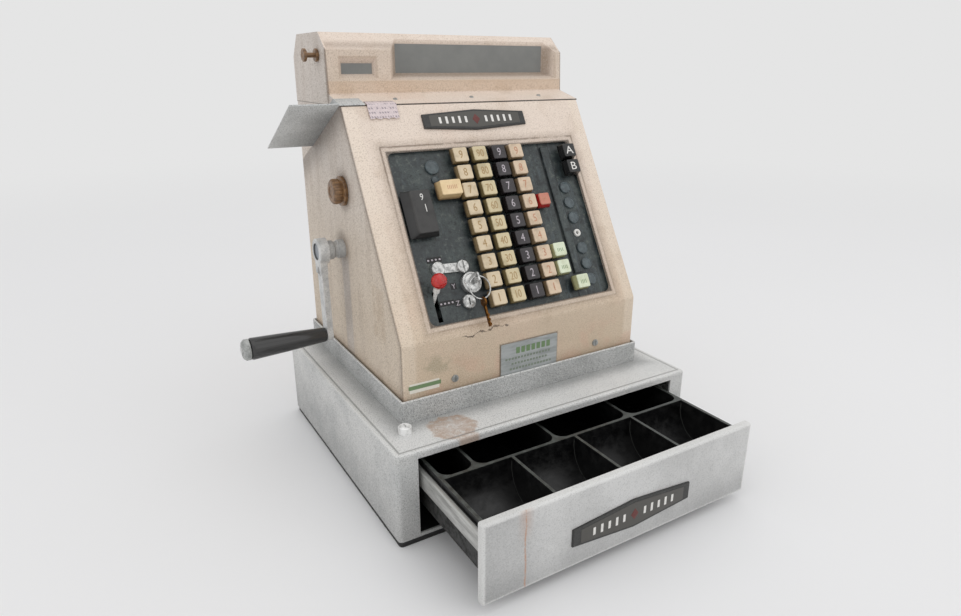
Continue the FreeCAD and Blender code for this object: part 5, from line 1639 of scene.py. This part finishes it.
@dataclass
class Badges:
    """Six-sided badges with plain strokes, the info plate, and the small label."""
    case_centre: float = 242.0
    drawer_centre: tuple[float, float, float] = (3.0, -295.0, 46.0)
    plate: Rect = (-38.5, 39.0, 129.5, 168.5)
    plate_front: float = -117.2
    front_y: float = -116.0

    def build(self) -> None:
        """Make both badges, the plate and the label."""
        for node, place, top, reach, body in (
                ("case_badge", self._on_case, 3.0, 60.0, Body.MACHINE),
                ("drawer_badge", self._on_drawer, 2.6, 67.0, Body.DRAWER)):
            eased_copy(node, Finish.BADGE_EDGE.get(), 0.0)
            self._face(node, place, top, reach, body)
        self._plate()
        self._label()

    def _on_case(self, points: Array) -> Array:
        """From the badge's own (u, v, w) to the slope."""
        return SLOPE.place(points + np.array([0.0, self.case_centre, 0.0]))

    def _on_drawer(self, points: Array) -> Array:
        """From the badge's own (u, v, w) to the drawer's front, w standing off it."""
        x, y, z = self.drawer_centre
        return np.column_stack([x + points[:, 0], y - points[:, 2], z + points[:, 1]])

    def _on_front(self, points: Array) -> Array:
        """From (x, z, off the front) to the upright front."""
        return np.column_stack([points[:, 0], self.front_y - points[:, 2], points[:, 1]])

    def _face(self, node: str, place: Callable[[Array], Array], top: float, reach: float,
              body: Body) -> None:
        """Inlaid face, two groups of upright strokes and a small lozenge between them.

        Args:
            node: the badge's CAD node.
            place: from the badge's own coordinates to the model's.
            top: height of its face.
            reach: half of the inlay's length.
            body: the body it rides on.
        """
        end, middle = (6.3, 10.0) if node == "case_badge" else (7.4, 13.2)
        rings = []
        for scale, height in ((1.0, top - 0.3), (1.0, top + 0.15), (0.985, top + 0.3)):
            rings.append([(x * scale, y * scale, height) for x, y in
                          ((-reach, -end), (0, -middle), (reach, -end), (reach, end), (0, middle),
                           (-reach, end))])
        inlay = ring_stack(np.array(rings, float))
        piece_from(f"{node}_inlay", inlay.moved(place), Finish.BADGE.get(), body,
                   slot_of_node(node))
        strokes = []
        for side in (-1, 1):
            for number in range(5):
                u = side * (13.5 + number * 8.4 * reach / 60)
                tall = (8.6 if number % 2 else 7.6) * reach / 60
                strokes.append(block((u - 1.5, u + 1.5, -tall / 2, tall / 2), top + 0.1,
                                     top + 0.5, 0.3))
        piece_from(f"{node}_strokes", joined(strokes).moved(place), Finish.WHITE_INK.get(), body,
                   slot_of_node(node))
        piece_from(f"{node}_lozenge", lozenge(5.0, 6.4, top + 0.1, top + 0.5).moved(place),
                   Finish.DARK_RED.get(), body, slot_of_node(node))

    def _plate(self) -> None:
        """Info plate with green blocks for a heading and thin strokes for its lines."""
        eased_copy("info_plate", Finish.PLATE.get(), 0.25)
        off = self.front_y - self.plate_front
        heading = tally(7, 7.6, 7.0, 5.0)
        heading.points += np.array([5.0, 158.6, off + 0.1])
        piece_from("info_plate_heading", heading.moved(self._on_front), Finish.GREEN_INK.get(),
                   Body.MACHINE, slot_of_node("info_plate"))
        lines = []
        for row, (count, z) in enumerate(((15, 149.6), (12, 143.2), (14, 136.8))):
            line = tally(count, 2.6, 4.2, 2.9)
            line.points += np.array([2.0 * (row - 1), z, off + 0.1])
            lines.append(line)
        piece_from("info_plate_lines", joined(lines).moved(self._on_front),
                   Finish.GREY_INK.get(), Body.MACHINE, slot_of_node("info_plate"))

    def _label(self) -> None:
        """Small pale label at the foot of the front, with a green band."""
        paper = block((-151.0, -116.0, 137.5, 148.0), -0.1, 0.25, 0.4, 0.08)
        piece_from("foot_label", paper.moved(self._on_front), Finish.LABEL.get(), Body.MACHINE,
                   slot_of_node("info_plate"))
        band = block((-152.0, -114.0, 141.5, 146.0), -0.05, 0.4, 0.4, 0.08)
        piece_from("foot_label_band", band.moved(self._on_front), Finish.GREEN_INK.get(),
                   Body.MACHINE, slot_of_node("info_plate"))


# ------------------------------------------------------------------ case, cabinet and drawer
@dataclass(frozen=True)
class Shells:
    """Sheet-metal and moulded nodes: those with eased edges, and those dressed as they are."""
    eased: tuple[tuple[str, Finish, float], ...] = (
        ("machine_collar", Finish.COLLAR, 0.8),
        ("drawer_front", Finish.DRAWER, 0.9),
        ("drawer_side_rails", Finish.STEEL, 0.3),
    )
    dressed: tuple[tuple[str, Finish], ...] = (
        ("cabinet_shell", Finish.CABINET),
        ("case_shell", Finish.CASE),
        ("head_shell", Finish.HEAD),
        ("rear_cover", Finish.CASE),
        ("base_plate", Finish.BASE),
        ("drawer_tray", Finish.DARK_STEEL),
        ("till_insert", Finish.INSERT),
        ("drawer_lock_housing", Finish.BRIGHT_LOCK),
        ("drawer_lock_plug", Finish.BRIGHT_LOCK),
        ("slide_channels", Finish.STEEL),
        ("ejector_spring", Finish.STEEL),
        ("latch_bracket", Finish.STEEL),
        ("drawer_latch", Finish.STEEL),
        ("case_screws", Finish.CAP_METAL),
        ("window_panes", Finish.GLASS),
        ("rear_window_frame", Finish.DARK_STEEL),
        ("amount_drums", Finish.DRUM),
        ("paper_roll", Finish.ROLL),
        ("platen_roller", Finish.RUBBER),
        ("crank_pinion", Finish.BRASS),
        ("cam_gear", Finish.BRASS),
        ("chassis_plates", Finish.STEEL),
        ("cross_rods", Finish.STEEL),
        ("bell", Finish.BRASS),
    )

    def build(self) -> None:
        """Ease and dress the shells."""
        for node, finish, width in self.eased:
            eased_copy(node, finish.get(), width)
        for node, finish in self.dressed:
            dress(node, finish.get())


# ------------------------------------------------------------------ floor, light and camera
@dataclass
class Studio:
    """Flat pale floor, even light from all round with three soft lamps, and the camera."""
    eye: tuple[float, float, float] = (-414.1, -697.5, 460.1)
    yaw: float = 31.0
    pitch: float = -19.67
    lens: float = 25.3
    sensor: float = 36.0
    floor_tone: Colour = (239, 239, 240)
    world_tone: float = 0.783
    far: tuple[float, float] = (0.75, 3.2)

    def build(self) -> None:
        """Make the studio."""
        self._floor()
        self._world()
        self._lamp("lamp_top", (0.2, -0.5, 2.6), (0.0, 0.0, 0.2), 2.6, 10.0)
        self._lamp("lamp_front", (1.2, -2.6, 1.7), (0.0, 0.0, 0.3), 2.2, 7.0)
        self._lamp("lamp_left", (-2.8, -0.9, 1.5), (0.0, 0.0, 0.25), 1.8, 5.0)
        self._camera()
        bpy.context.scene.view_settings.view_transform = "Standard"

    def _floor(self) -> None:
        """Flat disc; past `far` it shades over to the background's even tone."""
        turn = np.linspace(0, 2 * math.pi, 97)
        reach = np.concatenate([np.linspace(0.001, 6.0, 24), np.geomspace(7.0, 900.0, 16)])
        grid = np.stack([reach[None, :] * np.cos(turn)[:, None],
                         reach[None, :] * np.sin(turn)[:, None],
                         np.zeros((len(turn), len(reach)))], axis=-1)
        disc = sheet_grid(grid[:, ::-1])
        mesh = bpy.data.meshes.new("studio_floor")
        mesh.from_pydata(disc.points.tolist(), [], disc.faces)
        mesh.shade_smooth()
        g = Graph("studio_floor")
        cloud = g.noise(700, 2)
        colour = g.blend(g.product(g.rise(cloud, 0.4, 0.6), 0.1), self.floor_tone,
                         (235, 235, 235))
        mesh.materials.append(g.done(colour, 0.85))
        tone = (self.world_tone, self.world_tone, self.world_tone, 1.0)
        even = g.add("ShaderNodeEmission", {"Color": tone, "Strength": 1.0})
        away = g.rise(g.distance((0, 0, 0), (1000, 1000, 0)), *self.far)
        mixed = g.add("ShaderNodeMixShader", {0: away, 1: g.shader.outputs[0],
                                              2: even.outputs[0]})
        g.tree.links.new(mixed.outputs[0], g.output.inputs[0])
        floor = bpy.data.objects.new("studio_floor", mesh)
        bpy.context.scene.collection.objects.link(floor)

    def _world(self) -> None:
        """Even white light from all round."""
        world = bpy.data.worlds.new("studio")
        world.use_nodes = True
        light = world.node_tree.nodes["Background"]
        light.inputs["Color"].default_value = (1.0, 1.0, 1.0, 1.0)
        light.inputs["Strength"].default_value = self.world_tone
        bpy.context.scene.world = world

    def _lamp(self, name: str, place: tuple[float, float, float],
              aim: tuple[float, float, float], size: float, power: float) -> None:
        """A soft square lamp.

        Args:
            name: its name.
            place: where it stands, in metres.
            aim: where it points, in metres.
            size: side of the square.
            power: watts.
        """
        lamp = bpy.data.lights.new(name, "AREA")
        lamp.shape = "SQUARE"
        lamp.size = size
        lamp.energy = power
        holder = bpy.data.objects.new(name, lamp)
        holder.location = place
        away = holder.location.copy()
        away.x, away.y, away.z = (p - a for p, a in zip(place, aim))
        holder.rotation_euler = away.to_track_quat("Z", "Y").to_euler()
        bpy.context.scene.collection.objects.link(holder)

    def _camera(self) -> None:
        """Camera a little above the keyboard, to the left of the front."""
        camera = bpy.data.cameras.new("camera")
        camera.lens = self.lens
        camera.sensor_width = self.sensor
        camera.clip_start = 0.01
        camera.clip_end = 1000.0
        holder = bpy.data.objects.new("camera", camera)
        holder.location = tuple(c * MM for c in self.eye)
        holder.rotation_euler = (math.radians(90 + self.pitch), 0.0, -math.radians(self.yaw))
        bpy.context.scene.collection.objects.link(holder)
        bpy.context.scene.camera = holder


# ------------------------------------------------------------------ the whole register
@dataclass
class Register:
    """The register's groups of pieces, built in turn."""
    shells: Shells = field(default_factory=Shells)
    keyboard: Keyboard = field(default_factory=Keyboard)
    controls: Controls = field(default_factory=Controls)
    crank: Crank = field(default_factory=Crank)
    knobs: SideKnobs = field(default_factory=SideKnobs)
    receipt: Receipt = field(default_factory=Receipt)
    badges: Badges = field(default_factory=Badges)
    studio: Studio = field(default_factory=Studio)

    def build(self) -> None:
        """Build every group."""
        for group in (self.shells, self.keyboard, self.controls, self.crank, self.knobs,
                      self.receipt, self.badges, self.studio):
            LOG.info("building %s", type(group).__name__)
            group.build()


def main() -> None:
    """Build the looks."""
    logging.basicConfig(level=logging.INFO, format="%(name)s: %(message)s")
    Register().build()


if __name__ == "__main__":
    main()
